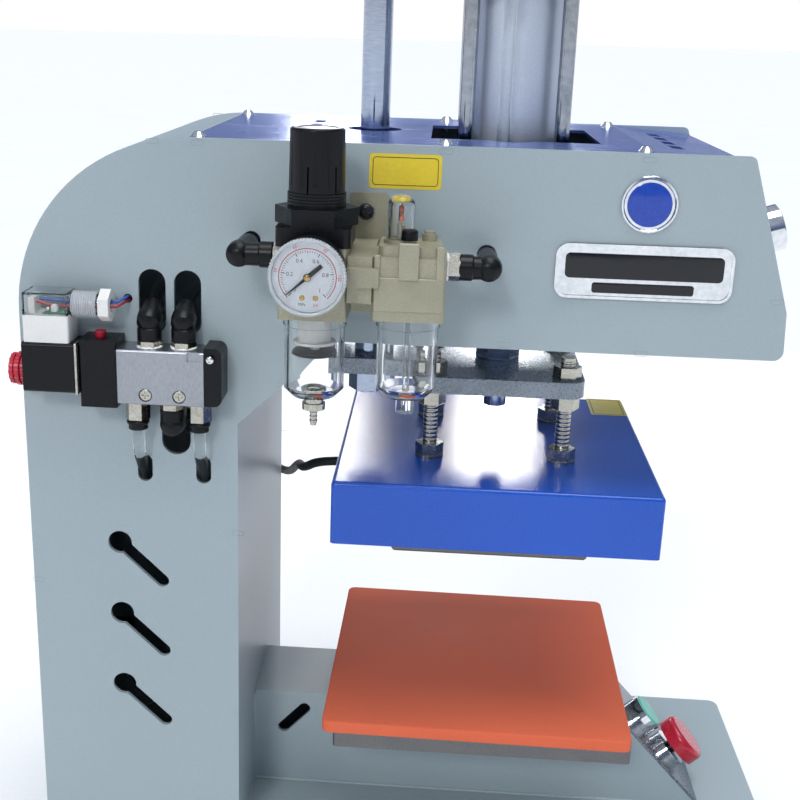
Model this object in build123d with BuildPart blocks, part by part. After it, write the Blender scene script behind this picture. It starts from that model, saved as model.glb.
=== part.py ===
from build123d import *
import os
from math import atan2, cos, degrees, hypot, radians, sin, tan

# Pneumatic heat press. Millimetres, +Z up, +X to the front of the machine, origin on the bench in the
# middle of the four bench bolt holes. "Near" is the -Y side, which carries the valve and the regulator.

os.makedirs("parts", exist_ok=True)

# Driving dimensions of the frame
arm_top = 572.0
arm_depth = 124.0
arm_width = 222.0
side_t = 3.0
sheet_t = 2.0
front_recess = 5.0
press_x = 50.0
column_behind = 312.0
column_depth = 141.0
front_top_x = press_x + 139.5
knee_x = press_x + 169.0
knee_drop = 93.7
lower_front_x = press_x + 170.5
chamfer_x = press_x - 109.3
chamfer_drop = 58.0
back_radius = 112.0

arm_bottom = arm_top - arm_depth
column_back = press_x - column_behind
knee_z = arm_top - knee_drop
column_front = column_back + column_depth
chamfer_z = arm_bottom - chamfer_drop
near_face = -arm_width / 2
inner_width = arm_width - 2 * side_t

# Driving dimensions of the base and the lower arm
foot_h = 12.0
foot_d = 24.0
bench_hole_d = 9.0
base_length = 540.0
base_width = 250.0
base_h = 60.0
flange_w = 25.0
flange_t = 3.0
bolt_edge = 30.0
neck_width = 71.0
neck_h = 78.0
neck_wall = 3.0
nose_setback = 119.8
nose_angle = 47.0
panel_t = 2.0

base_top = foot_h + base_h
neck_top = base_top + neck_h
bolt_pitch_x = base_length - 2 * bolt_edge
bolt_pitch_y = base_width + flange_w
nose_start = base_length / 2 - nose_setback

# Driving dimensions of the platen and the press head
platen_size = 210.0
platen_t = 13.0
pad_size = 217.0
pad_corner = 6.0
pad_t = 8.6
cover_size = 219.0
cover_h = 43.8
cover_wall = 1.5
plate_x = 209.0
plate_y = 214.0
plate_shift = -3.2
board_size = 208.0
plate_t = 22.0
plate_show = 4.2
carrier_under_arm = 34.5
stroke_rest_gap = 0.7
carrier_x = 116.0
carrier_y = 120.0
carrier_t = 12.0
carrier_over_cover = 49.2
stud_pitch = 92.0
stud_d = 10.0
guide_offset = 93.4
rod_d = 20.0
thread_d = 16.0

platen_top = neck_top + platen_t
pad_top = platen_top + pad_t
carrier_top = arm_bottom - carrier_under_arm
carrier_bottom = carrier_top - carrier_t
cover_top = carrier_bottom - carrier_over_cover
cover_bottom = cover_top - cover_h
plate_bottom = cover_bottom - plate_show
daylight = plate_bottom - pad_top
guide_x = press_x - guide_offset
stroke = daylight - stroke_rest_gap

# Driving dimensions of the cylinder
mount_t = 14.0
cap_size = 82.0
cap_t = 27.0
barrel_d = 68.0
bore_d = 63.0
tie_pitch = 63.0
tie_d = 10.0
piston_t = 30.0
piston_play = 0.3
rod_play = 0.1
end_play = 5.0

mount_top = arm_bottom + sheet_t + mount_t
barrel_bottom = mount_top + cap_t
barrel_len = stroke + piston_t + 2 * end_play
barrel_top = barrel_bottom + barrel_len
cap_top = barrel_top + cap_t

# Driving dimensions of the parts on the near plate, from the press axis and the arm's top
valve_depth = 22.0
valve_left = press_x - 243.8
valve_length = 55.0
valve_h = 35.5
valve_drop = 129.5
body_size = 40.0
body_stand = 25.0
oil_body_w = 42.0
regulator_x = press_x - 117.0
regulator_drop = 52.8
regulator_h = 42.6
lubricator_x = press_x - 61.8
bowl_d = 36.0
bowl_wall = 2.5

valve_y = near_face - valve_depth / 2
valve_top = arm_top - valve_drop
valve_bottom = valve_top - valve_h
service_y = near_face - body_stand - body_size / 2
regulator_top = arm_top - regulator_drop
regulator_bottom = regulator_top - regulator_h

# General fits
sliding_play = 0.3
screw_play = 0.15


def facing(point, normal, across=None):
    """Plane at a point, looking along normal."""
    return Plane(origin=point, x_dir=across, z_dir=normal)


def bar(plane, diameter, length, mode=Mode.ADD):
    """Round bar from a plane along its normal."""
    with BuildSketch(plane) as section:
        Circle(diameter / 2)
    extrude(section.sketch, amount=length, mode=mode)


def hex_bar(plane, across_flats, length, mode=Mode.ADD):
    """Hexagon bar from a plane along its normal."""
    with BuildSketch(plane) as section:
        RegularPolygon(across_flats / 2, 6, major_radius=False)
    extrude(section.sketch, amount=length, mode=mode)


def block(low, high, mode=Mode.ADD):
    """Box between two opposite corners."""
    size = [b - a for a, b in zip(low, high)]
    middle = [(a + b) / 2 for a, b in zip(low, high)]
    with Locations(tuple(middle)):
        Box(*size, mode=mode)


def bend_radii(points):
    """Bend radius at each corner of a route: 0.45 of the shorter run over the tangent of half the turn."""
    radii = []
    for before, here, after in zip(points, points[1:], points[2:]):
        run_in = Vector(*here) - Vector(*before)
        run_out = Vector(*after) - Vector(*here)
        turn = radians(run_in.get_angle(run_out))
        radii.append(0.45 * min(run_in.length, run_out.length) / tan(turn / 2))
    return radii


def tube(points, diameter):
    """Round tube or wire along straight runs joined by tangent arcs."""
    with BuildLine() as route:
        FilletPolyline(*points, radius=bend_radii(points))
    with BuildSketch(Plane(origin=route.line @ 0, z_dir=route.line % 0)) as section:
        Circle(diameter / 2)
    sweep(section.sketch, path=route.wire())


def rim(part, spot):
    """Round edge of a part whose centre lies nearest to a point."""
    rounds = part.edges().filter_by(GeomType.CIRCLE)
    return rounds.sort_by(lambda edge: (edge.arc_center - spot).length)[0]


def frame_outline(bottom):
    """Side view of the C-shaped frame, drawn on XZ, down to a chosen level."""
    with BuildSketch() as side:
        with BuildLine():
            Polyline(
                (column_back, bottom),
                (column_back, arm_top),
                (front_top_x, arm_top),
                (knee_x, knee_z),
                (lower_front_x, arm_bottom),
                (chamfer_x, arm_bottom),
                (column_front, chamfer_z),
                (column_front, bottom),
                close=True,
            )
        make_face()
        corners = side.vertices()
        fillet(corners.sort_by_distance((column_back, arm_top))[0], back_radius)
        fillet(side.vertices().sort_by_distance((front_top_x, arm_top))[0], 4)
        fillet(side.vertices().sort_by_distance((knee_x, knee_z))[0], 8)
        fillet(side.vertices().sort_by_distance((lower_front_x, arm_bottom))[0], 6)
    return side.sketch_local


outline = frame_outline(base_top)
tall_outline = frame_outline(base_top - 30)


# Openings in the near plate, as distances from the press axis and below the arm's top
keyhole_heads = [(-251.5, 270.1), (-251.5, 322.9), (-251.5, 377.8)]
keyhole_run = (28.4, 26.9)
keyhole_head_d = 16.2
keyhole_slot_w = 9.2
elbow_slots = [(-225.3, 103.0), (-202.6, 103.0)]
elbow_slot_w = 17.4
elbow_slot_h = 42.0
exhaust_slots = [(-232.8, 215.4), (-193.8, 215.2)]
exhaust_slot_w = 10.0
exhaust_slot_h = 19.0
supply_slot = (-211.6, 190.0)
supply_slot_w = 19.0
supply_slot_h = 30.0
wire_hole = (-241.0, 101.5)
wire_hole_d = 6.0
port_hole_d = 12.0
in_port = (-162.2, 61.5)
out_port = (-16.2, 64.5)

# Screws that hold the top plate to the folded edges of the side plates
top_screw_x = [-197.0, -44.5, 77.0]
top_screw_y = arm_width / 2 - 14.0
top_screw_d = 5.0
screw_head_d = 9.5
screw_head_h = 2.75
lip_w = 22.0
lip_t = 2.5
lip_front = 70.0
top_rear_x = column_back + back_radius - 1.0
top_bend_x = front_top_x - 58.0
top_front_drop = 5.0

with BuildPart() as side_plate_near:
    with BuildSketch(Plane.XZ.offset(arm_width / 2)):
        add(outline)
        for head_x, drop in keyhole_heads:
            start = (press_x + head_x, arm_top - drop)
            end = (start[0] + keyhole_run[0], start[1] - keyhole_run[1])
            middle = ((start[0] + end[0]) / 2, (start[1] + end[1]) / 2)
            with Locations(start):
                Circle(keyhole_head_d / 2, mode=Mode.SUBTRACT)
            with Locations(middle):
                SlotCenterToCenter(
                    hypot(*keyhole_run),
                    keyhole_slot_w,
                    rotation=-degrees(atan2(keyhole_run[1], keyhole_run[0])),
                    mode=Mode.SUBTRACT,
                )
        for slot_x, drop in elbow_slots:
            with Locations((press_x + slot_x, arm_top - drop)):
                SlotOverall(elbow_slot_h, elbow_slot_w, rotation=90, mode=Mode.SUBTRACT)
        for slot_x, drop in exhaust_slots:
            with Locations((press_x + slot_x, arm_top - drop)):
                SlotOverall(exhaust_slot_h, exhaust_slot_w, rotation=90, mode=Mode.SUBTRACT)
        with Locations((press_x + supply_slot[0], arm_top - supply_slot[1])):
            SlotOverall(supply_slot_h, supply_slot_w, rotation=90, mode=Mode.SUBTRACT)
        with Locations((press_x + wire_hole[0], arm_top - wire_hole[1])):
            Circle(wire_hole_d / 2, mode=Mode.SUBTRACT)
        for port_x, drop in (in_port, out_port):
            with Locations((press_x + port_x, arm_top - drop)):
                Circle(port_hole_d / 2, mode=Mode.SUBTRACT)
    extrude(amount=-side_t)
    lip_low = (top_rear_x + 4, near_face + side_t, arm_top - sheet_t - lip_t)
    lip_high = (front_top_x - lip_front, near_face + side_t + lip_w, arm_top - sheet_t)
    block(lip_low, lip_high)
    for screw_x in top_screw_x:
        bar(facing((press_x + screw_x, -top_screw_y, arm_top), (0, 0, -1)),
            top_screw_d + 2 * screw_play, 10, Mode.SUBTRACT)
side_plate_near.part.label = "side_plate_near"
export_step(side_plate_near.part, "parts/side_plate_near.step")

# The heater lead goes into the far plate through this gland hole
lead_d = 7.0
gland_x = column_back + 57.0
gland_drop = 172.0
gland_hole_d = 16.0

with BuildPart() as side_plate_far:
    with BuildSketch(Plane.XZ.offset(-arm_width / 2)):
        add(outline)
        with Locations((gland_x, arm_top - gland_drop)):
            Circle(gland_hole_d / 2, mode=Mode.SUBTRACT)
    extrude(amount=side_t)
    lip_low = (top_rear_x + 4, arm_width / 2 - side_t - lip_w, arm_top - sheet_t - lip_t)
    lip_high = (front_top_x - lip_front, arm_width / 2 - side_t, arm_top - sheet_t)
    block(lip_low, lip_high)
    for screw_x in top_screw_x:
        bar(facing((press_x + screw_x, top_screw_y, arm_top), (0, 0, -1)),
            top_screw_d + 2 * screw_play, 10, Mode.SUBTRACT)
side_plate_far.part.label = "side_plate_far"
export_step(side_plate_far.part, "parts/side_plate_far.step")

# Bright steel top plate, bent down a little at the front, with the cylinder opening and vent slots
cut_x = 54.0
cut_near = 60.0
cut_far = 46.0
tube_bulge_x = -2.5
tube_bulge_y = -57.0
tube_bulge_d = 27.0
guide_hole_d = 37.0
vent_rows = [-136.0, 104.0]
vent_w = 8.0
vent_l = 20.0
vent_pitch = 31.0
vent_shift = 3.0

with BuildPart() as top_plate:
    with BuildSketch(Plane.XZ.offset(inner_width / 2)):
        with BuildLine():
            Polyline(
                (top_rear_x, arm_top),
                (top_bend_x, arm_top),
                (front_top_x, arm_top - top_front_drop),
                (front_top_x, arm_top - top_front_drop - sheet_t),
                (top_bend_x, arm_top - sheet_t),
                (top_rear_x, arm_top - sheet_t),
                close=True,
            )
        make_face()
    extrude(amount=-inner_width)
    with BuildSketch(Plane.XY.offset(arm_top)):
        with Locations((press_x, (cut_far - cut_near) / 2)):
            Rectangle(2 * cut_x, cut_near + cut_far)
        with Locations((press_x + tube_bulge_x, tube_bulge_y)):
            Circle(tube_bulge_d / 2)
        with Locations((guide_x, 0)):
            Circle(guide_hole_d / 2)
        for row_x in vent_rows:
            with Locations((press_x + row_x, vent_shift)):
                with GridLocations(1, vent_pitch, 1, 4):
                    Rectangle(vent_w, vent_l)
        for screw_x in top_screw_x:
            with Locations((press_x + screw_x, -top_screw_y), (press_x + screw_x, top_screw_y)):
                Circle(top_screw_d / 2 + screw_play)
    extrude(amount=-15, mode=Mode.SUBTRACT)
top_plate.part.label = "top_plate"
export_step(top_plate.part, "parts/top_plate.step")

# Rear cover: bent over the rounded corner and down the back of the column
inlet_w = 28.0
inlet_h = 24.0
inlet_z = base_top + 70.0
inlet_y = 50.0
air_port_y = -50.0
air_port_z = base_top + 70.0
silencer_y = -10.0
rear_hole_d = 16.0
rear_vent_w = 60.0
rear_vent_h = 5.0
rear_vent_pitch = 14.0
rear_vent_z = arm_top - 230.0

with BuildPart() as rear_cover:
    with BuildSketch(Plane.XZ.offset(inner_width / 2)):
        add(tall_outline)
        offset(amount=-sheet_t, mode=Mode.SUBTRACT)
        with BuildLine():
            Polyline(
                (column_back - 1, base_top),
                (column_back - 1, arm_top + 1),
                (top_rear_x, arm_top + 1),
                (top_rear_x, arm_top - 20),
                (column_back + column_depth / 2, arm_top - back_radius),
                (column_back + column_depth / 2, base_top),
                close=True,
            )
        make_face(mode=Mode.INTERSECT)
    extrude(amount=-inner_width)
    with BuildSketch(Plane.YZ.offset(column_back)):
        with Locations((inlet_y, inlet_z)):
            Rectangle(inlet_w, inlet_h)
        with Locations((air_port_y, air_port_z), (silencer_y, air_port_z)):
            Circle(rear_hole_d / 2)
        with Locations((0, rear_vent_z)):
            with GridLocations(1, rear_vent_pitch, 1, 6):
                SlotOverall(rear_vent_w, rear_vent_h)
    extrude(amount=sheet_t + 1, mode=Mode.SUBTRACT)
rear_cover.part.label = "rear_cover"
export_step(rear_cover.part, "parts/rear_cover.step")

# Front panel, set in from the edges of the side plates, with its openings on the sloped face
slope_len = hypot(knee_x - front_top_x, knee_drop)
front_normal = (knee_drop / slope_len, 0, (knee_x - front_top_x) / slope_len)
front_mid_x = (front_top_x + knee_x) / 2 - front_recess * front_normal[0]
front_mid_z = (arm_top + knee_z) / 2 - front_recess * front_normal[2]
front_face = facing((front_mid_x, 0, front_mid_z), front_normal, (0, 1, 0))
case_w = 96.0
case_h = 48.0
cut_w = 92.0
cut_h = 44.0
front_button_y = -80.0
front_button_up = -2.0
button_hole_d = 22.3
under_slope = top_front_drop / (front_top_x - top_bend_x)

with BuildPart() as front_panel:
    with BuildSketch(Plane.XZ.offset(inner_width / 2)):
        add(tall_outline)
        offset(amount=-front_recess, mode=Mode.REPLACE)
        offset(amount=-sheet_t, mode=Mode.SUBTRACT)
        with BuildLine():
            Polyline(
                (front_top_x - 8, arm_top - sheet_t - top_front_drop + 8 * under_slope),
                (front_top_x + 40, arm_top - sheet_t - top_front_drop - 40 * under_slope),
                (lower_front_x + 10, arm_bottom),
                (lower_front_x - 16, arm_bottom),
                close=True,
            )
        make_face(mode=Mode.INTERSECT)
    extrude(amount=-inner_width)
    with BuildSketch(front_face):
        Rectangle(cut_w, cut_h)
        with Locations((front_button_y, front_button_up)):
            Circle(button_hole_d / 2)
    extrude(amount=-sheet_t - 1, mode=Mode.SUBTRACT)
front_panel.part.label = "front_panel"
export_step(front_panel.part, "parts/front_panel.step")

# Underside of the arm, the slope behind it and the front of the column, one folded sheet
rod_window_x = [guide_x - 28.0, press_x + 46.0]
rod_window_y = 76.0

with BuildPart() as underside_sheet:
    with BuildSketch(Plane.XZ.offset(inner_width / 2)):
        add(tall_outline)
        offset(amount=-sheet_t, mode=Mode.SUBTRACT)
        with BuildLine():
            Polyline(
                (column_back + column_depth / 2, base_top),
                (column_back + column_depth / 2, arm_bottom + sheet_t),
                (lower_front_x - 3, arm_bottom + sheet_t),
                (lower_front_x - 3, base_top),
                close=True,
            )
        make_face(mode=Mode.INTERSECT)
    extrude(amount=-inner_width)
    block((rod_window_x[0], -rod_window_y / 2, arm_bottom - 1),
          (rod_window_x[1], rod_window_y / 2, arm_bottom + sheet_t), Mode.SUBTRACT)
underside_sheet.part.label = "underside_sheet"
export_step(underside_sheet.part, "parts/underside_sheet.step")

# Thick plate inside the arm that carries the cylinder and the guide bush
mount_rear_x = guide_x - 34.0
mount_front_x = press_x + 58.0
bush_d = 32.0
bush_flange_d = 52.0
bush_flange_t = 8.0
bush_screw_pcd = 42.0

with BuildPart() as mount_plate:
    block((mount_rear_x, -inner_width / 2, arm_bottom + sheet_t),
          (mount_front_x, inner_width / 2, mount_top))
    bar(facing((press_x, 0, mount_top), (0, 0, -1)), rod_d + 6, mount_t, Mode.SUBTRACT)
    bar(facing((guide_x, 0, mount_top), (0, 0, -1)), bush_d, mount_t, Mode.SUBTRACT)
mount_plate.part.label = "mount_plate"
export_step(mount_plate.part, "parts/mount_plate.step")

with BuildPart() as guide_bush:
    bar(facing((guide_x, 0, arm_bottom + sheet_t), (0, 0, 1)), bush_d, mount_t)
    bar(facing((guide_x, 0, mount_top), (0, 0, 1)), bush_flange_d, bush_flange_t)
    bar(facing((guide_x, 0, arm_bottom), (0, 0, 1)), rod_d + 2 * rod_play, 60, Mode.SUBTRACT)
    with Locations((guide_x, 0, mount_top + bush_flange_t)):
        with PolarLocations(bush_screw_pcd / 2, 4, start_angle=45):
            Cylinder(3.5, 5, align=(Align.CENTER, Align.CENTER, Align.MAX), mode=Mode.SUBTRACT)
guide_bush.part.label = "guide_bush"
export_step(guide_bush.part, "parts/guide_bush.step")

# Air cylinder: round barrel between two square caps, held by four tie rods
cylinder_foot = Plane(origin=(press_x, 0, mount_top))

with BuildPart() as cylinder_barrel:
    bar(cylinder_foot.offset(cap_t), barrel_d, barrel_len)
    bar(cylinder_foot.offset(cap_t), bore_d, barrel_len, Mode.SUBTRACT)
cylinder_barrel.part.label = "cylinder_barrel"
export_step(cylinder_barrel.part, "parts/cylinder_barrel.step")

with BuildPart() as cylinder_caps:
    for level in (0, cap_t + barrel_len):
        with BuildSketch(cylinder_foot.offset(level)):
            RectangleRounded(cap_size, cap_size, 9)
            with GridLocations(tie_pitch, tie_pitch, 2, 2):
                Circle(tie_d / 2 + screw_play, mode=Mode.SUBTRACT)
        extrude(amount=cap_t)
    bar(cylinder_foot, rod_d + 2 * rod_play, cap_t, Mode.SUBTRACT)
cylinder_caps.part.label = "cylinder_caps"
export_step(cylinder_caps.part, "parts/cylinder_caps.step")

tie_nut_af = 16.0
tie_nut_h = 8.0
tie_end = 4.0

with BuildPart() as tie_rods:
    for tie_x in (-tie_pitch / 2, tie_pitch / 2):
        for tie_y in (-tie_pitch / 2, tie_pitch / 2):
            spot = (press_x + tie_x, tie_y, mount_top)
            rod_length = cap_top - mount_top + tie_nut_h + tie_end
            bar(Plane(origin=spot), tie_d, rod_length)
            hex_bar(Plane(origin=(spot[0], spot[1], cap_top)), tie_nut_af, tie_nut_h)
tie_rods.part.label = "tie_rods"
export_step(tie_rods.part, "parts/tie_rods.step")

# Base: a folded box with bolt flanges, standing on four rubber feet with through holes
base_wall = 2.5
base_lip = 45.0

with BuildPart() as base_box:
    with BuildSketch(Plane.XY.offset(foot_h)):
        RectangleRounded(base_length, base_width, 8)
    extrude(amount=base_h)
    fillet(base_box.edges().group_by(Axis.Z)[-1], 2)
    with BuildSketch(Plane.XY.offset(foot_h)):
        RectangleRounded(base_length, base_width + 2 * flange_w, 8)
    extrude(amount=flange_t)
    block((-base_length / 2 + base_wall, -base_width / 2 + base_wall, foot_h + flange_t),
          (base_length / 2 - base_wall, base_width / 2 - base_wall, base_top - base_wall),
          Mode.SUBTRACT)
    block((-base_length / 2 + base_lip, -base_width / 2 + base_lip, foot_h - 1),
          (base_length / 2 - base_lip, base_width / 2 - base_lip, foot_h + flange_t + 1),
          Mode.SUBTRACT)
    with Locations((0, 0, foot_h)):
        with GridLocations(bolt_pitch_x, bolt_pitch_y, 2, 2):
            Cylinder(bench_hole_d / 2, 4 * flange_t, mode=Mode.SUBTRACT)
base_box.part.label = "base_box"
export_step(base_box.part, "parts/base_box.step")

with BuildPart() as base_feet:
    with BuildSketch():
        with GridLocations(bolt_pitch_x, bolt_pitch_y, 2, 2):
            Circle(foot_d / 2)
            Circle(bench_hole_d / 2, mode=Mode.SUBTRACT)
    extrude(amount=foot_h)
base_feet.part.label = "base_feet"
export_step(base_feet.part, "parts/base_feet.step")

# Lower arm, welded to the column front, with a sloped nose for the start and stop buttons
nose_rise = (cos(radians(nose_angle)), sin(radians(nose_angle)))
nose_normal = (nose_rise[1], 0, nose_rise[0])
nose_end = nose_start + neck_h / tan(radians(nose_angle))
slant_slot = (press_x - 140.5, base_top + 56.0)
slant_slot_l = 32.0
slant_slot_w = 9.0

with BuildPart() as neck_box:
    with BuildSketch(Plane.XZ.offset(neck_width / 2)):
        with BuildLine():
            Polyline(
                (column_front, base_top),
                (column_front, neck_top),
                (nose_start, neck_top),
                (nose_end, base_top),
                close=True,
            )
        make_face()
    extrude(amount=-neck_width)
    with BuildSketch(Plane.XZ.offset(neck_width / 2 - neck_wall)):
        with BuildLine():
            Polyline(
                (column_front + neck_wall, base_top + neck_wall),
                (column_front + neck_wall, neck_top - neck_wall),
                (nose_end + 2 * neck_wall, neck_top - neck_wall),
                (nose_end + 2 * neck_wall, base_top + neck_wall),
                close=True,
            )
        make_face()
    extrude(amount=-(neck_width - 2 * neck_wall), mode=Mode.SUBTRACT)
    with BuildSketch(Plane.XZ.offset(neck_width / 2)):
        with Locations(slant_slot):
            SlotOverall(slant_slot_l, slant_slot_w, rotation=47)
    extrude(amount=-neck_wall - 1, mode=Mode.SUBTRACT)
neck_box.part.label = "neck_box"
export_step(neck_box.part, "parts/neck_box.step")

nose_len = neck_h / sin(radians(nose_angle))
nose_mid = ((nose_start + nose_end) / 2, 0, (neck_top + base_top) / 2)
nose_plane = facing(nose_mid, nose_normal, (0, 1, 0))
nose_face = nose_plane.offset(panel_t)
start_along = nose_len / 2 - 38.0
stop_along = start_along - 36.0

with BuildPart() as nose_panel:
    with BuildSketch(nose_plane):
        RectangleRounded(neck_width, nose_len - 4, 2)
        with Locations((0, start_along), (0, stop_along)):
            Circle(button_hole_d / 2, mode=Mode.SUBTRACT)
    extrude(amount=panel_t)
nose_panel.part.label = "nose_panel"
export_step(nose_panel.part, "parts/nose_panel.step")

# Push buttons: chrome bezels with a threaded neck, and the pieces that are pressed
bezel_d = 29.0
bezel_h = 11.0
power_bezel_h = 17.0
neck_d = 22.0
neck_depth = 18.0
button_cap_d = 26.4
button_cap_show = 0.8
button_travel = 3.5
stem_d = 10.0
stop_head_d = 38.0
stop_head_h = 12.0
stop_travel = 4.0
stop_pin_d = 7.0


def button_plane(face, across, along):
    """Plane on a panel face, at the middle of a button."""
    return Plane(origin=face.from_local_coords((across, along, 0)), x_dir=face.x_dir, z_dir=face.z_dir)


start_plane = button_plane(nose_face, 0, start_along)
stop_plane = button_plane(nose_face, 0, stop_along)
power_plane = button_plane(front_face, front_button_y, front_button_up)

with BuildPart() as button_bezels:
    for face, height in ((start_plane, bezel_h), (power_plane, power_bezel_h)):
        bar(face, bezel_d, height)
        bar(face.offset(-neck_depth), neck_d, neck_depth)
        bar(face.offset(2), button_cap_d + 2 * sliding_play, height, Mode.SUBTRACT)
        bar(face.offset(-neck_depth + 4), stem_d + 2 * sliding_play, neck_depth, Mode.SUBTRACT)
    bar(stop_plane, bezel_d, 5)
    bar(stop_plane.offset(-neck_depth), neck_d, neck_depth)
    bar(stop_plane.offset(-neck_depth + 4), stem_d + 2 * sliding_play, neck_depth + 5, Mode.SUBTRACT)
button_bezels.part.label = "button_bezels"
export_step(button_bezels.part, "parts/button_bezels.step")

button_bottom = 2 + button_travel + sliding_play
button_top = bezel_h + button_cap_show + sliding_play
power_top = power_bezel_h + button_cap_show + sliding_play
stem_length = 11.0

with BuildPart() as start_button:
    bar(start_plane.offset(button_bottom), button_cap_d, button_top - button_bottom)
    fillet(rim(start_button, start_plane.offset(button_top).origin), 1.2)
    bar(start_plane.offset(button_bottom - stem_length), stem_d, stem_length)
start_button.part.label = "start_button"
export_step(start_button.part, "parts/start_button.step")

with BuildPart() as front_button:
    bar(power_plane.offset(button_bottom), button_cap_d, power_top - button_bottom)
    fillet(rim(front_button, power_plane.offset(power_top).origin), 1.2)
    bar(power_plane.offset(button_bottom - stem_length), stem_d, stem_length)
front_button.part.label = "front_button"
export_step(front_button.part, "parts/front_button.step")

stop_bottom = 5 + stop_travel + sliding_play

with BuildPart() as stop_stem:
    bar(stop_plane.offset(stop_bottom - stem_length - 2), stem_d, stem_length + 2)
    bar(stop_plane.offset(stop_bottom), stop_pin_d, stop_head_h - 4)
stop_stem.part.label = "stop_stem"
export_step(stop_stem.part, "parts/stop_stem.step")

with BuildPart() as stop_button:
    bar(stop_plane.offset(stop_bottom + sliding_play), stop_head_d, stop_head_h)
    crown = stop_plane.offset(stop_bottom + sliding_play + stop_head_h).origin
    fillet(rim(stop_button, crown), 4)
    bar(stop_plane.offset(stop_bottom), stop_pin_d + 2 * sliding_play, stop_head_h - 4 + sliding_play,
        Mode.SUBTRACT)
stop_button.part.label = "stop_button"
export_step(stop_button.part, "parts/stop_button.step")

# Lower platen and its silicone pad
with BuildPart() as lower_platen:
    with BuildSketch(Plane(origin=(press_x, 0, neck_top))):
        RectangleRounded(platen_size, platen_size, 3)
    extrude(amount=platen_t)
    chamfer(lower_platen.edges().group_by(Axis.Z)[-1], 0.8)
lower_platen.part.label = "lower_platen"
export_step(lower_platen.part, "parts/lower_platen.step")

with BuildPart() as silicone_pad:
    with BuildSketch(Plane(origin=(press_x, 0, platen_top))):
        RectangleRounded(pad_size, pad_size, pad_corner)
    extrude(amount=pad_t)
    fillet(silicone_pad.edges().group_by(Axis.Z)[-1], 0.6)
silicone_pad.part.label = "silicone_pad"
export_step(silicone_pad.part, "parts/silicone_pad.step")

# Temperature and time controller in the front panel
case_t = 6.0
case_body_depth = 70.0

with BuildPart() as controller:
    with BuildSketch(front_face):
        RectangleRounded(case_w, case_h, 3)
    extrude(amount=case_t, taper=8)
    with BuildSketch(front_face.offset(-case_body_depth)):
        Rectangle(cut_w - 0.6, cut_h - 0.6)
    extrude(amount=case_body_depth)
    with BuildSketch(front_face.offset(case_t - 1.2)):
        Rectangle(case_w - 12, case_h - 12)
    extrude(amount=2, mode=Mode.SUBTRACT)
controller.part.label = "controller"
export_step(controller.part, "parts/controller.step")

# Air inlet, exhaust silencer and the lead's gland in the frame
tube_bore_d = 8.2
supply_tube_d = 10.1
supply_seat = 16.0
inlet_hex = 17.0
inlet_hex_t = 6.0
inlet_body_l = 16.0
inlet_neck_d = 15.4
gland_hex = 19.0
gland_hex_t = 6.0
gland_dome_l = 12.0

with BuildPart() as frame_ports:
    air_port = facing((column_back, air_port_y, air_port_z), (-1, 0, 0))
    hex_bar(air_port, inlet_hex, inlet_hex_t)
    bar(air_port.offset(inlet_hex_t), inlet_hex - 1, inlet_body_l - inlet_hex_t)
    bar(air_port.offset(-24), inlet_neck_d, 24)
    hex_bar(air_port.offset(-sheet_t - 5), inlet_hex + 3, 5)
    bar(air_port.offset(-24), tube_bore_d, 60, Mode.SUBTRACT)
    bar(air_port.offset(inlet_body_l), supply_tube_d, -supply_seat, Mode.SUBTRACT)
    silencer = facing((column_back, silencer_y, air_port_z), (-1, 0, 0))
    hex_bar(silencer, inlet_hex, inlet_hex_t)
    bar(silencer.offset(inlet_hex_t), inlet_hex - 3, 14)
    bar(silencer.offset(-12), inlet_neck_d, 12)
    gland = facing((gland_x, arm_width / 2, arm_top - gland_drop), (0, 1, 0))
    hex_bar(gland, gland_hex, gland_hex_t)
    bar(gland.offset(gland_hex_t), gland_hex - 2, gland_dome_l)
    bar(gland.offset(-12), gland_hole_d - 0.4, 12)
    hex_bar(gland.offset(-side_t - 5), gland_hex + 3, 5)
    bar(gland.offset(gland_hex_t + gland_dome_l), lead_d + 0.6, -40, Mode.SUBTRACT)
frame_ports.part.label = "frame_ports"
export_step(frame_ports.part, "parts/frame_ports.step")

# Appliance inlet with three pins, in the rear cover
inlet_flange_w = 50.0
inlet_flange_h = 30.0
inlet_depth = 22.0

with BuildPart() as power_inlet:
    socket = facing((column_back, inlet_y, inlet_z), (-1, 0, 0), (0, 1, 0))
    with BuildSketch(socket):
        RectangleRounded(inlet_flange_w, inlet_flange_h, 4)
    extrude(amount=3)
    with BuildSketch(socket.offset(-inlet_depth)):
        Rectangle(inlet_w - 0.6, inlet_h - 0.6)
    extrude(amount=inlet_depth)
    with BuildSketch(socket.offset(3)):
        RectangleRounded(24, 16, 3)
    extrude(amount=-17, mode=Mode.SUBTRACT)
    for pin_y, pin_z in ((-7, -2), (0, 2.5), (7, -2)):
        with BuildSketch(socket.offset(-14)):
            with Locations((pin_y, pin_z)):
                Rectangle(2, 4.5)
        extrude(amount=13)
power_inlet.part.label = "power_inlet"
export_step(power_inlet.part, "parts/power_inlet.step")

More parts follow.
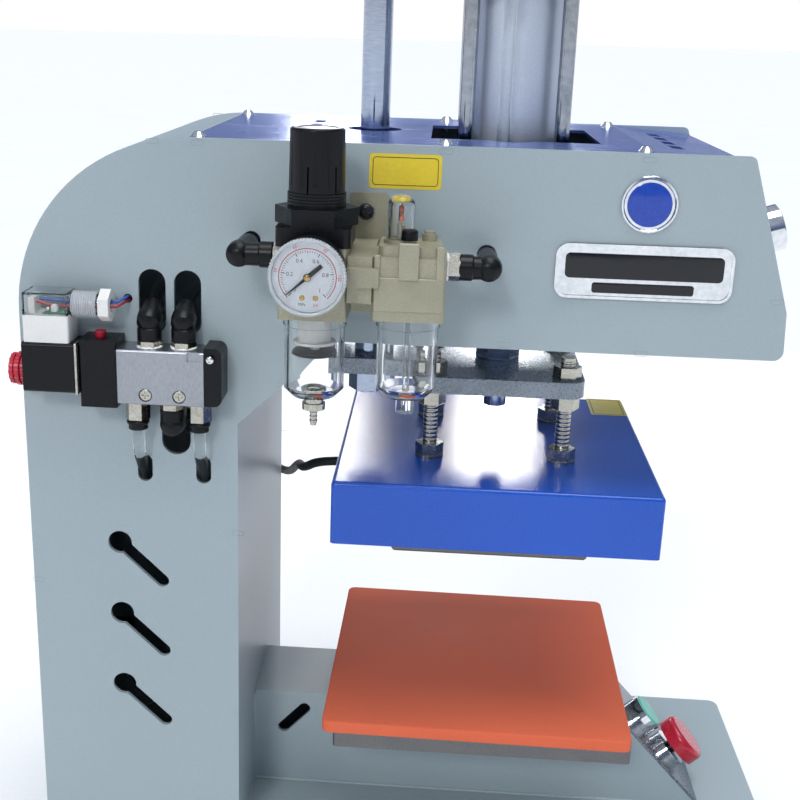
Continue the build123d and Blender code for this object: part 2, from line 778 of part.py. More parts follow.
# Directional valve: silver body, black ends, coil, connector and their screws
pilot_w = 23.5
pilot_top = arm_top - 124.1
pilot_bottom = arm_top - 167.3
end_cap_w = 11.3
end_cap_drop = 126.5
coil_stub_l = 2.7
coil_length = 33.0
coil_top = arm_top - 126.5
coil_h = 32.2
coil_depth = 25.0
coil_nut_d = 21.5
coil_nut_l = 10.3
coil_axis_drop = 4.2
pilot_left = valve_left - pilot_w
coil_right = pilot_left - coil_stub_l
coil_left = coil_right - coil_length
coil_axis_z = coil_top - coil_h / 2 - coil_axis_drop
coil_axis_y = near_face - 0.5 - coil_depth / 2
valve_screws = [(press_x - 226.0, arm_top - 158.5), (press_x - 204.5, arm_top - 158.7)]
valve_screw_d = 4.0
valve_ports_top = [-224.9, -203.3]
valve_ports_bottom = [-233.8, -211.5, -194.0]
port_d = 9.6
port_depth = 7.0

with BuildPart() as valve_body:
    block((valve_left, near_face - valve_depth, valve_bottom),
          (valve_left + valve_length, near_face, valve_top))
    fillet(valve_body.edges().filter_by(Axis.X).sort_by(Axis.Y)[:2], 1.4)
    for port_x in valve_ports_top:
        bar(facing((press_x + port_x, valve_y, valve_top), (0, 0, -1)), port_d, port_depth, Mode.SUBTRACT)
    for port_x in valve_ports_bottom:
        bar(facing((press_x + port_x, valve_y, valve_bottom), (0, 0, 1)), port_d, port_depth, Mode.SUBTRACT)
    for screw_x, screw_z in valve_screws:
        spot = facing((screw_x, near_face - valve_depth, screw_z), (0, 1, 0))
        bar(spot, valve_screw_d + 2 * screw_play, valve_depth, Mode.SUBTRACT)
        bar(spot, 2 * valve_screw_d + 0.6, 2.4, Mode.SUBTRACT)
    notch_x = press_x - 195.3
    block((notch_x - 4, near_face - valve_depth - 1, valve_top - 6),
          (notch_x + 4, near_face - valve_depth + 1.2, valve_top + 1), Mode.SUBTRACT)
valve_body.part.label = "valve_body"
export_step(valve_body.part, "parts/valve_body.step")

override_x = press_x - 256.2
override_d = 7.0
override_h = 4.0
override_travel = 2.0
override_y = valve_y

with BuildPart() as valve_ends:
    block((pilot_left, near_face - valve_depth - 1.5, pilot_bottom),
          (valve_left, near_face, pilot_top))
    fillet(valve_ends.edges().filter_by(Axis.Z).sort_by(Axis.Y)[:2], 1.5)
    block((valve_left + valve_length, near_face - valve_depth + 0.6, valve_bottom + 0.6),
          (valve_left + valve_length + end_cap_w, near_face, arm_top - end_cap_drop))
    fillet(valve_ends.edges().filter_by(Axis.Y).sort_by(Axis.X)[-2:], 5)
    bar(facing((override_x, override_y, pilot_top), (0, 0, -1)),
        override_d + 2 * sliding_play, 8, Mode.SUBTRACT)
valve_ends.part.label = "valve_ends"
export_step(valve_ends.part, "parts/valve_ends.step")

override_drop = 8 - override_travel - sliding_play

with BuildPart() as override_button:
    bar(facing((override_x, override_y, pilot_top + override_h), (0, 0, -1)),
        override_d, override_h + override_drop)
    fillet(override_button.edges().group_by(Axis.Z)[-1], 0.6)
    block((override_x - 2.6, override_y - 0.4, pilot_top + override_h - 0.8),
          (override_x + 2.6, override_y + 0.4, pilot_top + override_h + 1), Mode.SUBTRACT)
override_button.part.label = "override_button"
export_step(override_button.part, "parts/override_button.step")

armature_d = 10.0

with BuildPart() as solenoid_coil:
    block((coil_left, coil_axis_y - coil_depth / 2, coil_top - coil_h),
          (coil_right, coil_axis_y + coil_depth / 2, coil_top))
    fillet(solenoid_coil.edges().filter_by(Axis.X), 2.5)
    block((coil_right, coil_axis_y - coil_depth / 2 + 1, coil_top - coil_h + 1),
          (pilot_left, coil_axis_y + coil_depth / 2 - 1, coil_top - 1))
    bar(facing((coil_left, coil_axis_y, coil_axis_z), (-1, 0, 0)), armature_d, 3)
solenoid_coil.part.label = "solenoid_coil"
export_step(solenoid_coil.part, "parts/solenoid_coil.step")

nut_scallops = 14
nut_core_d = 17.0
nut_rings = [(0.2, 2.4, coil_nut_d - 1.0), (3.7, 2.6, coil_nut_d), (7.6, 2.5, coil_nut_d - 1.5)]

with BuildPart() as coil_nut:
    nut_plane = facing((coil_left, coil_axis_y, coil_axis_z), (-1, 0, 0))
    bar(nut_plane.offset(0.2), nut_core_d, coil_nut_l - 0.4)
    for start, thick, width in nut_rings:
        with BuildSketch(nut_plane.offset(start)):
            Circle(width / 2)
            with PolarLocations(width / 2 + 1.4, nut_scallops):
                Circle(2.0, mode=Mode.SUBTRACT)
        extrude(amount=thick)
    bar(nut_plane.offset(0.2), armature_d + 0.6, 3.4, Mode.SUBTRACT)
    bar(nut_plane.offset(coil_nut_l - 1), 12, 2, Mode.SUBTRACT)
coil_nut.part.label = "coil_nut"
export_step(coil_nut.part, "parts/coil_nut.step")

# Plug-in connector on the coil: pale base, clear hood with a threaded nipple, and a hexagon cable nut
din_left = coil_left + 1.0
din_w = 29.0
din_base_h = 17.3
din_depth = 22.0
hood_h = 14.0
hood_wall = 1.6
nipple_d = 16.0
nipple_l = 18.4
cable_nut_af = 18.0
cable_nut_l = 6.6
din_bottom = coil_top
hood_bottom = din_bottom + din_base_h
nipple_z = arm_top - 103.4
din_right = din_left + din_w
terminal_h = 10.0

with BuildPart() as din_connector:
    block((din_left, coil_axis_y - din_depth / 2, din_bottom),
          (din_right, coil_axis_y + din_depth / 2, hood_bottom))
    fillet(din_connector.edges().filter_by(Axis.Z), 1.5)
    block((din_left + 3, coil_axis_y - 6, hood_bottom), (din_left + 7, coil_axis_y + 6, hood_bottom + terminal_h))
    nut_plane = facing((din_right + nipple_l, coil_axis_y, nipple_z), (1, 0, 0))
    hex_bar(nut_plane, cable_nut_af, cable_nut_l)
    bar(nut_plane, 8, cable_nut_l, Mode.SUBTRACT)
din_connector.part.label = "din_connector"
export_step(din_connector.part, "parts/din_connector.step")

with BuildPart() as din_hood:
    block((din_left, coil_axis_y - din_depth / 2, hood_bottom),
          (din_right, coil_axis_y + din_depth / 2, hood_bottom + hood_h))
    fillet(din_hood.edges().filter_by(Axis.Z), 1.5)
    fillet(din_hood.edges().group_by(Axis.Z)[-1], 1)
    bar(facing((din_right, coil_axis_y, nipple_z), (1, 0, 0)), nipple_d, nipple_l)
    block((din_left + hood_wall, coil_axis_y - din_depth / 2 + hood_wall, hood_bottom),
          (din_right - hood_wall, coil_axis_y + din_depth / 2 - hood_wall, hood_bottom + hood_h - hood_wall),
          Mode.SUBTRACT)
    bar(facing((din_right - 2 * hood_wall, coil_axis_y, nipple_z), (1, 0, 0)), 10, nipple_l + 10,
        Mode.SUBTRACT)
din_hood.part.label = "din_hood"
export_step(din_hood.part, "parts/din_hood.step")

wire_d = 1.8
wire_start_x = din_right + nipple_l + cable_nut_l - 4
wire_in_x = press_x + wire_hole[0]
wire_in_z = arm_top - wire_hole[1]

with BuildPart() as coil_wires:
    for side in (-1, 1):
        tube(
            [
                (din_left + 7.4, coil_axis_y + 3.4 * side, hood_bottom + 7.6),
                (din_left + 18, coil_axis_y + 2.8 * side, nipple_z + 1.4 * side),
                (din_right, coil_axis_y + 1.4 * side, nipple_z + 1.2 * side),
                (wire_start_x + 6, coil_axis_y + 1.5 * side, nipple_z + 1.3 * side),
                (wire_in_x - 1.2, coil_axis_y + 4, wire_in_z + 1.4 * side),
                (wire_in_x, near_face - 1.0, wire_in_z + 1.3 * side),
                (wire_in_x + 1.0, near_face + 10.0, wire_in_z + 1.2 * side),
            ],
            wire_d,
        )
coil_wires.part.label = "coil_wires"
export_step(coil_wires.part, "parts/coil_wires.step")

# Air fittings. Nickel hexagons screw into the ports, black push-in elbows turn back into the frame
tube_d = 8.0
elbow_d = 13.5
elbow_arm_d = 12.8
elbow_ball_d = 14.2
collar_d = 12.4
fit_hex = 14.0
fit_hex_h = 4.5
exhaust_hex_h = 12.0
exhaust_collar_h = 7.0
thread_play = 0.2
tube_play = 0.1
valve_port_y = valve_y
left_elbow_x = press_x + in_port[0]
left_elbow_z = arm_top - in_port[1]
right_elbow_x = press_x + out_port[0]
right_elbow_z = arm_top - out_port[1]
body_left = regulator_x - body_size / 2
oil_left = lubricator_x - oil_body_w / 2
body_right = lubricator_x + oil_body_w / 2
side_hex_l = 8.0
barrel_port_x = press_x - 8.0
lower_port_z = mount_top + cap_t / 2
upper_port_z = barrel_top + cap_t / 2
cap_face = -cap_size / 2

with BuildPart() as hex_fittings:
    for port_x in valve_ports_top:
        spot = facing((press_x + port_x, valve_port_y, valve_top), (0, 0, 1))
        hex_bar(spot, fit_hex, fit_hex_h)
        bar(spot.offset(-port_depth + 0.5), port_d - 2 * thread_play, port_depth)
    for port_x in (valve_ports_bottom[0], valve_ports_bottom[2]):
        spot = facing((press_x + port_x, valve_port_y, valve_bottom), (0, 0, -1))
        hex_bar(spot, fit_hex, exhaust_hex_h)
        bar(spot.offset(-port_depth + 0.5), port_d - 2 * thread_play, port_depth)
        bar(spot, tube_d + 2 * tube_play, exhaust_hex_h, Mode.SUBTRACT)
    spot = facing((press_x + valve_ports_bottom[1], valve_port_y, valve_bottom), (0, 0, -1))
    hex_bar(spot, fit_hex, fit_hex_h)
    bar(spot.offset(-port_depth + 0.5), port_d - 2 * thread_play, port_depth)
    hex_bar(facing((body_left, service_y, left_elbow_z), (-1, 0, 0)), fit_hex, fit_hex_h)
    hex_bar(facing((body_right, service_y, right_elbow_z), (1, 0, 0)), fit_hex, side_hex_l)
    hex_bar(facing((barrel_port_x, cap_face, upper_port_z), (0, -1, 0)), fit_hex, fit_hex_h)
    hex_bar(facing((barrel_port_x, cap_face, lower_port_z), (0, -1, 0)), fit_hex, fit_hex_h)
hex_fittings.part.label = "hex_fittings"
export_step(hex_fittings.part, "parts/hex_fittings.step")


def elbow(corner, base_point, exit_point):
    """Push-in elbow: a stub from its hexagon to the corner, and a tube socket from the corner to its mouth."""
    base_run = Vector(*base_point) - Vector(*corner)
    exit_run = Vector(*exit_point) - Vector(*corner)
    for run, width in ((base_run, elbow_d), (exit_run, elbow_arm_d)):
        bar(Plane(origin=corner, z_dir=run.normalized()), width, run.length)
    outward = -(base_run.normalized() + exit_run.normalized())
    with Locations(Plane(origin=corner, x_dir=outward, z_dir=base_run.cross(exit_run))):
        Sphere(elbow_ball_d / 2)
    mouth = Plane(origin=exit_point, z_dir=exit_run.normalized())
    bar(mouth, collar_d, 3.5)
    bar(mouth.offset(-9), tube_d + 2 * tube_play, 20, Mode.SUBTRACT)


with BuildPart() as push_elbows:
    for port_x in valve_ports_top:
        corner = (press_x + port_x, valve_port_y, valve_top + fit_hex_h + 13)
        elbow(corner, (corner[0], corner[1], valve_top + fit_hex_h),
              (corner[0], near_face - 2, corner[2] + 5.0))
    corner = (press_x + valve_ports_bottom[1], valve_port_y, valve_bottom - fit_hex_h - 11)
    elbow(corner, (corner[0], corner[1], valve_bottom - fit_hex_h), (corner[0], near_face - 1, corner[2] - 4))
    corner = (left_elbow_x, service_y, left_elbow_z)
    elbow(corner, (body_left - fit_hex_h, service_y, left_elbow_z), (left_elbow_x, near_face - 14, left_elbow_z))
    corner = (right_elbow_x, service_y, right_elbow_z)
    elbow(corner, (body_right + side_hex_l, service_y, right_elbow_z),
          (right_elbow_x, near_face - 14, right_elbow_z))
    corner = (barrel_port_x, cap_face - fit_hex_h - 8, upper_port_z)
    elbow(corner, (barrel_port_x, cap_face - fit_hex_h, upper_port_z),
          (corner[0], corner[1], upper_port_z - 14))
    corner = (barrel_port_x, cap_face - fit_hex_h - 8, lower_port_z)
    elbow(corner, (barrel_port_x, cap_face - fit_hex_h, lower_port_z),
          (corner[0] - 14, corner[1], lower_port_z))
    for port_x in (valve_ports_bottom[0], valve_ports_bottom[2]):
        spot = facing((press_x + port_x, valve_port_y, valve_bottom - exhaust_hex_h), (0, 0, -1))
        bar(spot, collar_d, exhaust_collar_h)
        bar(spot, tube_d + 2 * tube_play, exhaust_collar_h, Mode.SUBTRACT)
push_elbows.part.label = "push_elbows"
export_step(push_elbows.part, "parts/push_elbows.step")

# Clear air tubes inside the arm and the column, and the two exhaust tubes that go in through the slots
tube_seat = 8.0
slot_z = arm_top - exhaust_slots[0][1]
slot_pass_y = near_face + side_t / 2
exhaust_top = valve_bottom - exhaust_hex_h - exhaust_collar_h + 4.0
top_ports_x = [press_x + port_x for port_x in valve_ports_top]
supply_x = press_x + valve_ports_bottom[1]
supply_z = valve_bottom - fit_hex_h - 11
port_rise = valve_top + fit_hex_h + 13

with BuildPart() as valve_tubes:
    upper_line = [
        (top_ports_x[0], near_face - 8, port_rise + 1.7),
        (top_ports_x[0], near_face + 23, port_rise + 18.9),
        (press_x - 160, -70, arm_top - 32),
        (press_x - 62, -52, arm_top - 37),
        (barrel_port_x, cap_face - fit_hex_h - 8, arm_top - 30),
        (barrel_port_x, cap_face - fit_hex_h - 8, upper_port_z - 14 + tube_seat),
    ]
    tube(upper_line, tube_d)
    lower_line = [
        (top_ports_x[1], near_face - 8, port_rise + 1.7),
        (top_ports_x[1], near_face + 23, port_rise + 18.9),
        (press_x - 110, -84, arm_top - 88),
        (press_x - 60, cap_face - fit_hex_h - 8, lower_port_z),
        (barrel_port_x - 14 + tube_seat, cap_face - fit_hex_h - 8, lower_port_z),
    ]
    tube(lower_line, tube_d)
    supply_line = [
        (right_elbow_x, near_face - 14 - tube_seat, right_elbow_z),
        (right_elbow_x, -66, right_elbow_z),
        (press_x - 100, -66, arm_top - 72),
        (press_x - 166, -60, arm_top - 102),
        (press_x - 200, -44, arm_top - 147),
        (supply_x, -60, supply_z - 24.8),
        (supply_x, near_face - 1 - tube_seat, supply_z - 0.8),
    ]
    tube(supply_line, tube_d)
    inlet_line = [
        (left_elbow_x, near_face - 14 - tube_seat, left_elbow_z),
        (left_elbow_x, -52, left_elbow_z),
        (press_x - 226, -40, arm_top - 122),
        (press_x - 272, -45, arm_top - 202),
        (press_x - 262, air_port_y, arm_top - 282),
        (press_x - 230, air_port_y, air_port_z + 73),
        (press_x - 233, air_port_y, air_port_z),
        (column_back + 24 - tube_seat, air_port_y, air_port_z),
    ]
    tube(inlet_line, tube_d)
    for port_x in (valve_ports_bottom[0], valve_ports_bottom[2]):
        tube(
            [
                (press_x + port_x, valve_port_y, exhaust_top),
                (press_x + port_x, valve_port_y, slot_z + 16.0),
                (press_x + port_x, slot_pass_y + 15.5, slot_z - 19.8),
                (press_x + port_x, slot_pass_y + 20.0, slot_z - 62.0),
            ],
            tube_d,
        )
for points in (upper_line, lower_line, supply_line, inlet_line):
    print("air tube radii", [round(radius, 1) for radius in bend_radii(points)])
valve_tubes.part.label = "valve_tubes"
export_step(valve_tubes.part, "parts/valve_tubes.step")

# Bracket between the regulator and the lubricator, screwed flat to the near plate
bracket_t = 2.5
bracket_w = 24.0
bracket_x = press_x - 89.4
bracket_top_drop = 29.0
bracket_bottom_drop = 103.0
bracket_screws = [40.0, 91.0]
bracket_screw_d = 5.0
clamp_drop = 63.0
clamp_h = 11.0
clamp_t = 4.0
spacer_drop = 57.0
spacer_h = 27.0

with BuildPart() as frl_bracket:
    with BuildSketch(Plane.XZ.offset(arm_width / 2)):
        with Locations((bracket_x, arm_top - (bracket_top_drop + bracket_bottom_drop) / 2)):
            RectangleRounded(bracket_w, bracket_bottom_drop - bracket_top_drop, 2.5)
        for drop in bracket_screws:
            with Locations((bracket_x, arm_top - drop)):
                Circle(bracket_screw_d / 2 + screw_play, mode=Mode.SUBTRACT)
    extrude(amount=bracket_t)
    block((body_left + body_size, service_y - body_size / 2, arm_top - spacer_drop - spacer_h),
          (oil_left, near_face - bracket_t, arm_top - spacer_drop))
    block((body_left + body_size - 3, service_y - body_size / 2 - clamp_t, arm_top - clamp_drop - clamp_h),
          (oil_left + 4, service_y - body_size / 2, arm_top - clamp_drop))
frl_bracket.part.label = "frl_bracket"
export_step(frl_bracket.part, "parts/frl_bracket.step")

# Filter and regulator: die-cast body, black bonnet with a threaded neck and a ring nut, knob and spindle
boss_d = 16.0
boss_l = 6.0
gauge_drop = 65.0
gauge_x = press_x - 117.0
bonnet_w = 43.0
bonnet_h = 11.0
ring_nut_af = 42.0
ring_nut_h = 10.0
neck_ring_d = 34.0
neck_ring_h = 8.0
thread_grooves = 4
sleeve_d = 24.0
sleeve_h = 15.0
spindle_d = 10.0
knob_d = 32.5
knob_h = 36.0
knob_bore_d = 25.2
knob_slots = 6
knob_flutes = 12

service_point = (regulator_x, service_y, regulator_top)
service_top = Plane(origin=service_point)
ring_bottom = bonnet_h
ring_top = ring_bottom + ring_nut_h
neck_top_h = ring_top + neck_ring_h
knob_bottom = neck_top_h + sliding_play

with BuildPart() as regulator_body:
    with BuildSketch(Plane(origin=(regulator_x, service_y, regulator_bottom))):
        RectangleRounded(body_size, body_size, 3)
    extrude(amount=regulator_h)
    bar(facing((gauge_x, service_y - body_size / 2, arm_top - gauge_drop), (0, -1, 0)), boss_d, boss_l)
    bar(Plane(origin=(regulator_x, service_y, regulator_bottom)), 20, 14, Mode.SUBTRACT)
regulator_body.part.label = "regulator_body"
export_step(regulator_body.part, "parts/regulator_body.step")

with BuildPart() as regulator_bonnet:
    with BuildSketch(service_top):
        RectangleRounded(bonnet_w, bonnet_w, 4)
        for corner_x in (-1, 1):
            for corner_y in (-1, 1):
                with Locations((corner_x * (bonnet_w / 2 - 3.5), corner_y * (bonnet_w / 2 - 3.5))):
                    Circle(1.6, mode=Mode.SUBTRACT)
    extrude(amount=bonnet_h)
    hex_bar(service_top.offset(ring_bottom), ring_nut_af, ring_nut_h)
    bar(service_top.offset(ring_top), neck_ring_d, neck_ring_h)
    for turn in range(thread_grooves):
        with BuildSketch(service_top.offset(ring_top + 0.9 + 1.8 * turn)):
            Circle(neck_ring_d / 2)
            Circle(neck_ring_d / 2 - 0.8, mode=Mode.SUBTRACT)
        extrude(amount=0.8, mode=Mode.SUBTRACT)
    bar(service_top.offset(neck_top_h), sleeve_d, sleeve_h)
    bar(service_top.offset(neck_top_h + sleeve_h), spindle_d + 2 * sliding_play, -30, Mode.SUBTRACT)
regulator_bonnet.part.label = "regulator_bonnet"
export_step(regulator_bonnet.part, "parts/regulator_bonnet.step")

spindle_bottom = neck_top_h + sleeve_h - 30 + sliding_play
spindle_top = knob_bottom + knob_h - 8.0

with BuildPart() as regulator_spindle:
    bar(service_top.offset(spindle_bottom), spindle_d, spindle_top - spindle_bottom - 10)
    hex_bar(service_top.offset(spindle_top - 10), 8.0, 10)
regulator_spindle.part.label = "regulator_spindle"
export_step(regulator_spindle.part, "parts/regulator_spindle.step")

with BuildPart() as regulator_knob:
    with BuildSketch(service_top.offset(knob_bottom)):
        Circle(knob_d / 2)
    extrude(amount=knob_h, taper=0.8)
    fillet(regulator_knob.edges().filter_by(GeomType.CIRCLE).sort_by(Axis.Z)[-1], 1.8)
    bar(service_top.offset(knob_bottom), knob_bore_d, sleeve_h + sliding_play, Mode.SUBTRACT)
    bar(service_top.offset(knob_bottom), spindle_d + 2 * sliding_play, spindle_top - knob_bottom - 10,
        Mode.SUBTRACT)
    hex_bar(service_top.offset(knob_bottom), 8.0 + 2 * sliding_play,
            spindle_top - knob_bottom + sliding_play, Mode.SUBTRACT)
    for slot in range(knob_slots):
        with BuildSketch(service_top.offset(knob_bottom)):
            with PolarLocations(knob_d / 2 - 1, 1, start_angle=17 + 360 * slot / knob_slots):
                Rectangle(5, 1.0)
        extrude(amount=15, mode=Mode.SUBTRACT)
    for flute in range(knob_flutes):
        with BuildSketch(service_top.offset(knob_bottom + 4)):
            with PolarLocations(knob_d / 2 + 0.55, 1, start_angle=2 + 360 * flute / knob_flutes):
                Circle(1.2)
        extrude(amount=knob_h, mode=Mode.SUBTRACT)
    bar(service_top.offset(knob_bottom + knob_h - 1.0), knob_d - 9, 2, Mode.SUBTRACT)
regulator_knob.part.label = "regulator_knob"
export_step(regulator_knob.part, "parts/regulator_knob.step")

# Pressure gauge: black case with its clear rim, and the needle on its pin
gauge_d = 43.8
gauge_back = 17.0
rim_h = 5.0
dial_depth = 4.0
pin_d = 2.0
needle_t = 0.6
needle_reach = 16.0
needle_tail = 10.4
needle_hub_d = 4.4
gauge_plane = facing((gauge_x, service_y - body_size / 2 - boss_l, arm_top - gauge_drop), (0, -1, 0))
rim_plane = gauge_plane.offset(gauge_back)
dial_plane = rim_plane.offset(rim_h - dial_depth)

with BuildPart() as gauge_case:
    bar(gauge_plane, gauge_d - 2.5, gauge_back)
    bar(rim_plane, gauge_d, rim_h)
    bar(dial_plane, gauge_d - 4, dial_depth, Mode.SUBTRACT)
    bar(dial_plane, pin_d, 2.2)
gauge_case.part.label = "gauge_case"
export_step(gauge_case.part, "parts/gauge_case.step")

needle_angle = 311.0  # from straight down, anticlockwise: the zero mark
needle_plane = dial_plane.offset(0.8)

with BuildPart() as gauge_needle:
    with BuildSketch(needle_plane):
        Circle(needle_hub_d / 2)
        with PolarLocations(needle_reach / 2, 1, start_angle=needle_angle):
            Trapezoid(2.0, needle_reach, 87, rotation=-90)
        with PolarLocations(needle_tail / 2, 1, start_angle=needle_angle + 180):
            Rectangle(needle_tail, 2.4)
    extrude(amount=needle_t)
    bar(needle_plane, needle_hub_d, 1.2)
    bar(needle_plane, pin_d + 0.4, 1.2, Mode.SUBTRACT)
gauge_needle.part.label = "gauge_needle"
export_step(gauge_needle.part, "parts/gauge_needle.step")

# Clear bowls of the filter and of the lubricator
bowl_collar_d = 38.0
bowl_collar_h = 6.0
filter_bowl_h = 50.0
oil_body_drop = 51.0
oil_body_h = 43.0
oil_bowl_h = 49.0
oil_nipple_h = 11.0
oil_nipple_d = 11.0
oil_body_top = arm_top - oil_body_drop
oil_body_bottom = oil_body_top - oil_body_h

with BuildPart() as frl_bowls:
    for bowl_x, bowl_top, bowl_h in (
        (regulator_x, regulator_bottom, filter_bowl_h),
        (lubricator_x, oil_body_bottom, oil_bowl_h),
    ):
        with BuildSketch(facing((bowl_x, service_y, 0), (0, -1, 0), (1, 0, 0))):
            with BuildLine():
                Polyline(
                    (0, bowl_top),
                    (bowl_collar_d / 2, bowl_top),
                    (bowl_collar_d / 2, bowl_top - bowl_collar_h),
                    (bowl_d / 2, bowl_top - bowl_collar_h),
                    (bowl_d / 2, bowl_top - bowl_h + 5),
                    (bowl_d / 2 - 5, bowl_top - bowl_h),
                    (0, bowl_top - bowl_h),
                    close=True,
                )
            make_face()
            with BuildLine():
                Polyline(
                    (0, bowl_top),
                    (bowl_d / 2 - bowl_wall, bowl_top),
                    (bowl_d / 2 - bowl_wall, bowl_top - bowl_h + 6),
                    (bowl_d / 2 - bowl_wall - 4, bowl_top - bowl_h + 3),
                    (0, bowl_top - bowl_h + 3),
                    close=True,
                )
            make_face(mode=Mode.SUBTRACT)
        revolve(axis=Axis((bowl_x, service_y, 0), (0, 0, 1)))
    drain_hole_z = regulator_bottom - filter_bowl_h
    bar(Plane(origin=(regulator_x, service_y, drain_hole_z)), 8.0, 4, Mode.SUBTRACT)
    bar(facing((lubricator_x, service_y, oil_body_bottom - oil_bowl_h), (0, 0, -1)), oil_nipple_d, oil_nipple_h)
frl_bowls.part.label = "frl_bowls"
export_step(frl_bowls.part, "parts/frl_bowls.step")

element_d = 19.6
element_h = 20.0
baffle_d = 25.0

with BuildPart() as filter_element:
    seat = facing((regulator_x, service_y, regulator_bottom + 13), (0, 0, -1))
    bar(seat, element_d - 0.4, 13)
    bar(seat.offset(13), element_d, element_h - 4)
    bar(seat.offset(13 + element_h - 4), baffle_d, 1.5)
    bar(seat.offset(13 + element_h - 2.5), 6, 4)
filter_element.part.label = "filter_element"
export_step(filter_element.part, "parts/filter_element.step")

drain_collar_d = 14.0
drain_collar_h = 9.0
barb_l = 10.5
barb_d = 3.6

with BuildPart() as filter_drain:
    drain = facing((regulator_x, service_y, regulator_bottom - filter_bowl_h), (0, 0, -1))
    bar(drain.offset(-3), 7.4, 3)
    bar(drain.offset(sliding_play), drain_collar_d - 2.5, 5.5)
    bar(drain.offset(0), 7.4, 1)
    bar(drain.offset(5.0), drain_collar_d, drain_collar_h - 5.0)
    bar(drain.offset(drain_collar_h), barb_d, barb_l)
    for ring in range(3):
        with BuildSketch(drain.offset(drain_collar_h + 2.0 + 2.6 * ring)):
            Circle(barb_d / 2 + 0.7)
        extrude(amount=2.0, taper=15)
    with BuildSketch(drain.offset(drain_collar_h)):
        Circle(1.0)
    extrude(amount=barb_l, mode=Mode.SUBTRACT)
filter_drain.part.label = "filter_drain"
export_step(filter_drain.part, "parts/filter_drain.step")

# Lubricator: stepped die-cast body with a filler plug and a clear sight dome
step_h = 6.0
plug_h = 2.5
dome_x = press_x - 68.0
dome_y = service_y - 2.0
dome_d = 16.0
dome_h = 25.0
dome_wall = 1.8

with BuildPart() as lubricator_body:
    with BuildSketch(Plane(origin=(lubricator_x, service_y, oil_body_bottom))):
        RectangleRounded(oil_body_w, body_size, 3)
    extrude(amount=oil_body_h - step_h)
    with BuildSketch(Plane(origin=(lubricator_x, service_y, oil_body_top - step_h))):
        RectangleRounded(oil_body_w - 6, body_size - 6, 4)
    extrude(amount=step_h)
    bar(Plane(origin=(dome_x, dome_y, oil_body_top)), dome_d + 3, plug_h)
    bar(Plane(origin=(lubricator_x + 10.5, service_y + 9, oil_body_top)), 9, 4)
    hex_bar(Plane(origin=(lubricator_x + 10.5, service_y + 9, oil_body_top + 4)), 6, 1.5)
    bar(Plane(origin=(dome_x, dome_y, oil_body_top + plug_h)), 5, 9)
lubricator_body.part.label = "lubricator_body"
export_step(lubricator_body.part, "parts/lubricator_body.step")

with BuildPart() as sight_dome:
    dome = Plane(origin=(dome_x, dome_y, oil_body_top + plug_h))
    bar(dome, dome_d, dome_h)
    fillet(sight_dome.edges().group_by(Axis.Z)[-1], dome_d / 2 - 1.5)
    bar(dome, dome_d - 2 * dome_wall, dome_h - 4, Mode.SUBTRACT)
sight_dome.part.label = "sight_dome"
export_step(sight_dome.part, "parts/sight_dome.step")

# Screws: dome heads on the top plate, pan heads on the valve and the bracket
with BuildPart() as top_screws:
    for screw_x in top_screw_x:
        for screw_y in (-top_screw_y, top_screw_y):
            spot = Plane(origin=(press_x + screw_x, screw_y, arm_top))
            with BuildSketch(spot):
                Circle(screw_head_d / 2)
            extrude(amount=screw_head_h, taper=38)
            bar(spot.offset(-8), top_screw_d, 8)
            hex_bar(spot.offset(screw_head_h - 1.5), 3.0, 2, Mode.SUBTRACT)
top_screws.part.label = "top_screws"
export_step(top_screws.part, "parts/top_screws.step")

pan_head_d = 8.0
pan_head_h = 2.2

with BuildPart() as pan_screws:
    pans = [(screw_x, near_face - valve_depth + 2.4, screw_z, valve_screw_d, valve_depth - 2.4)
            for screw_x, screw_z in valve_screws]
    pans += [(bracket_x, near_face - bracket_t, arm_top - drop, bracket_screw_d, bracket_t)
             for drop in bracket_screws]
    for screw_x, head_y, screw_z, shank_d, shank_l in pans:
        head = facing((screw_x, head_y, screw_z), (0, -1, 0))
        bar(head, pan_head_d, pan_head_h)
        fillet(rim(pan_screws, head.offset(pan_head_h).origin), 0.9)
        bar(head.offset(-shank_l), shank_d, shank_l)
        for turn in (0, 90):
            with BuildSketch(head.offset(pan_head_h)):
                Rectangle(4.6, 1.0, rotation=turn)
            extrude(amount=-1.2, mode=Mode.SUBTRACT)
pan_screws.part.label = "pan_screws"
export_step(pan_screws.part, "parts/pan_screws.step")

# Bare badge and bare label on the near plate
label_x = press_x - 68.0
label_drop = 15.9
label_w = 44.0
label_h = 21.0
label_t = 0.3
badge_x = press_x + 79.6
badge_drop = 30.4
badge_d = 35.0
badge_t = 2.0
plate_x = press_x + 80.0
plate_drop = 72.0
plate_w = 108.0
plate_h = 34.0

with BuildPart() as name_plates:
    with BuildSketch(Plane.XZ.offset(arm_width / 2)):
        with Locations((label_x, arm_top - label_drop)):
            RectangleRounded(label_w, label_h, 2.5)
    extrude(amount=label_t)
    with BuildSketch(Plane.XZ.offset(arm_width / 2)):
        with Locations((badge_x, arm_top - badge_drop)):
            Circle(badge_d / 2)
    extrude(amount=badge_t)
    with BuildSketch(Plane.XZ.offset(arm_width / 2)):
        with Locations((plate_x, arm_top - plate_drop)):
            RectangleRounded(plate_w, plate_h, 8)
    extrude(amount=badge_t)
name_plates.part.label = "name_plates"
export_step(name_plates.part, "parts/name_plates.step")

# Press head. The piston rod carries the carrier plate, four studs carry the heater below it
nut_af = 27.0
jam_nut_h = 9.0
end_nut_h = 13.0
washer_d = 31.0
washer_t = 2.0
rod_end = 10.0
piston_bottom = barrel_top - end_play - piston_t
guide_rise = 250.0
guide_nut_h = 15.0

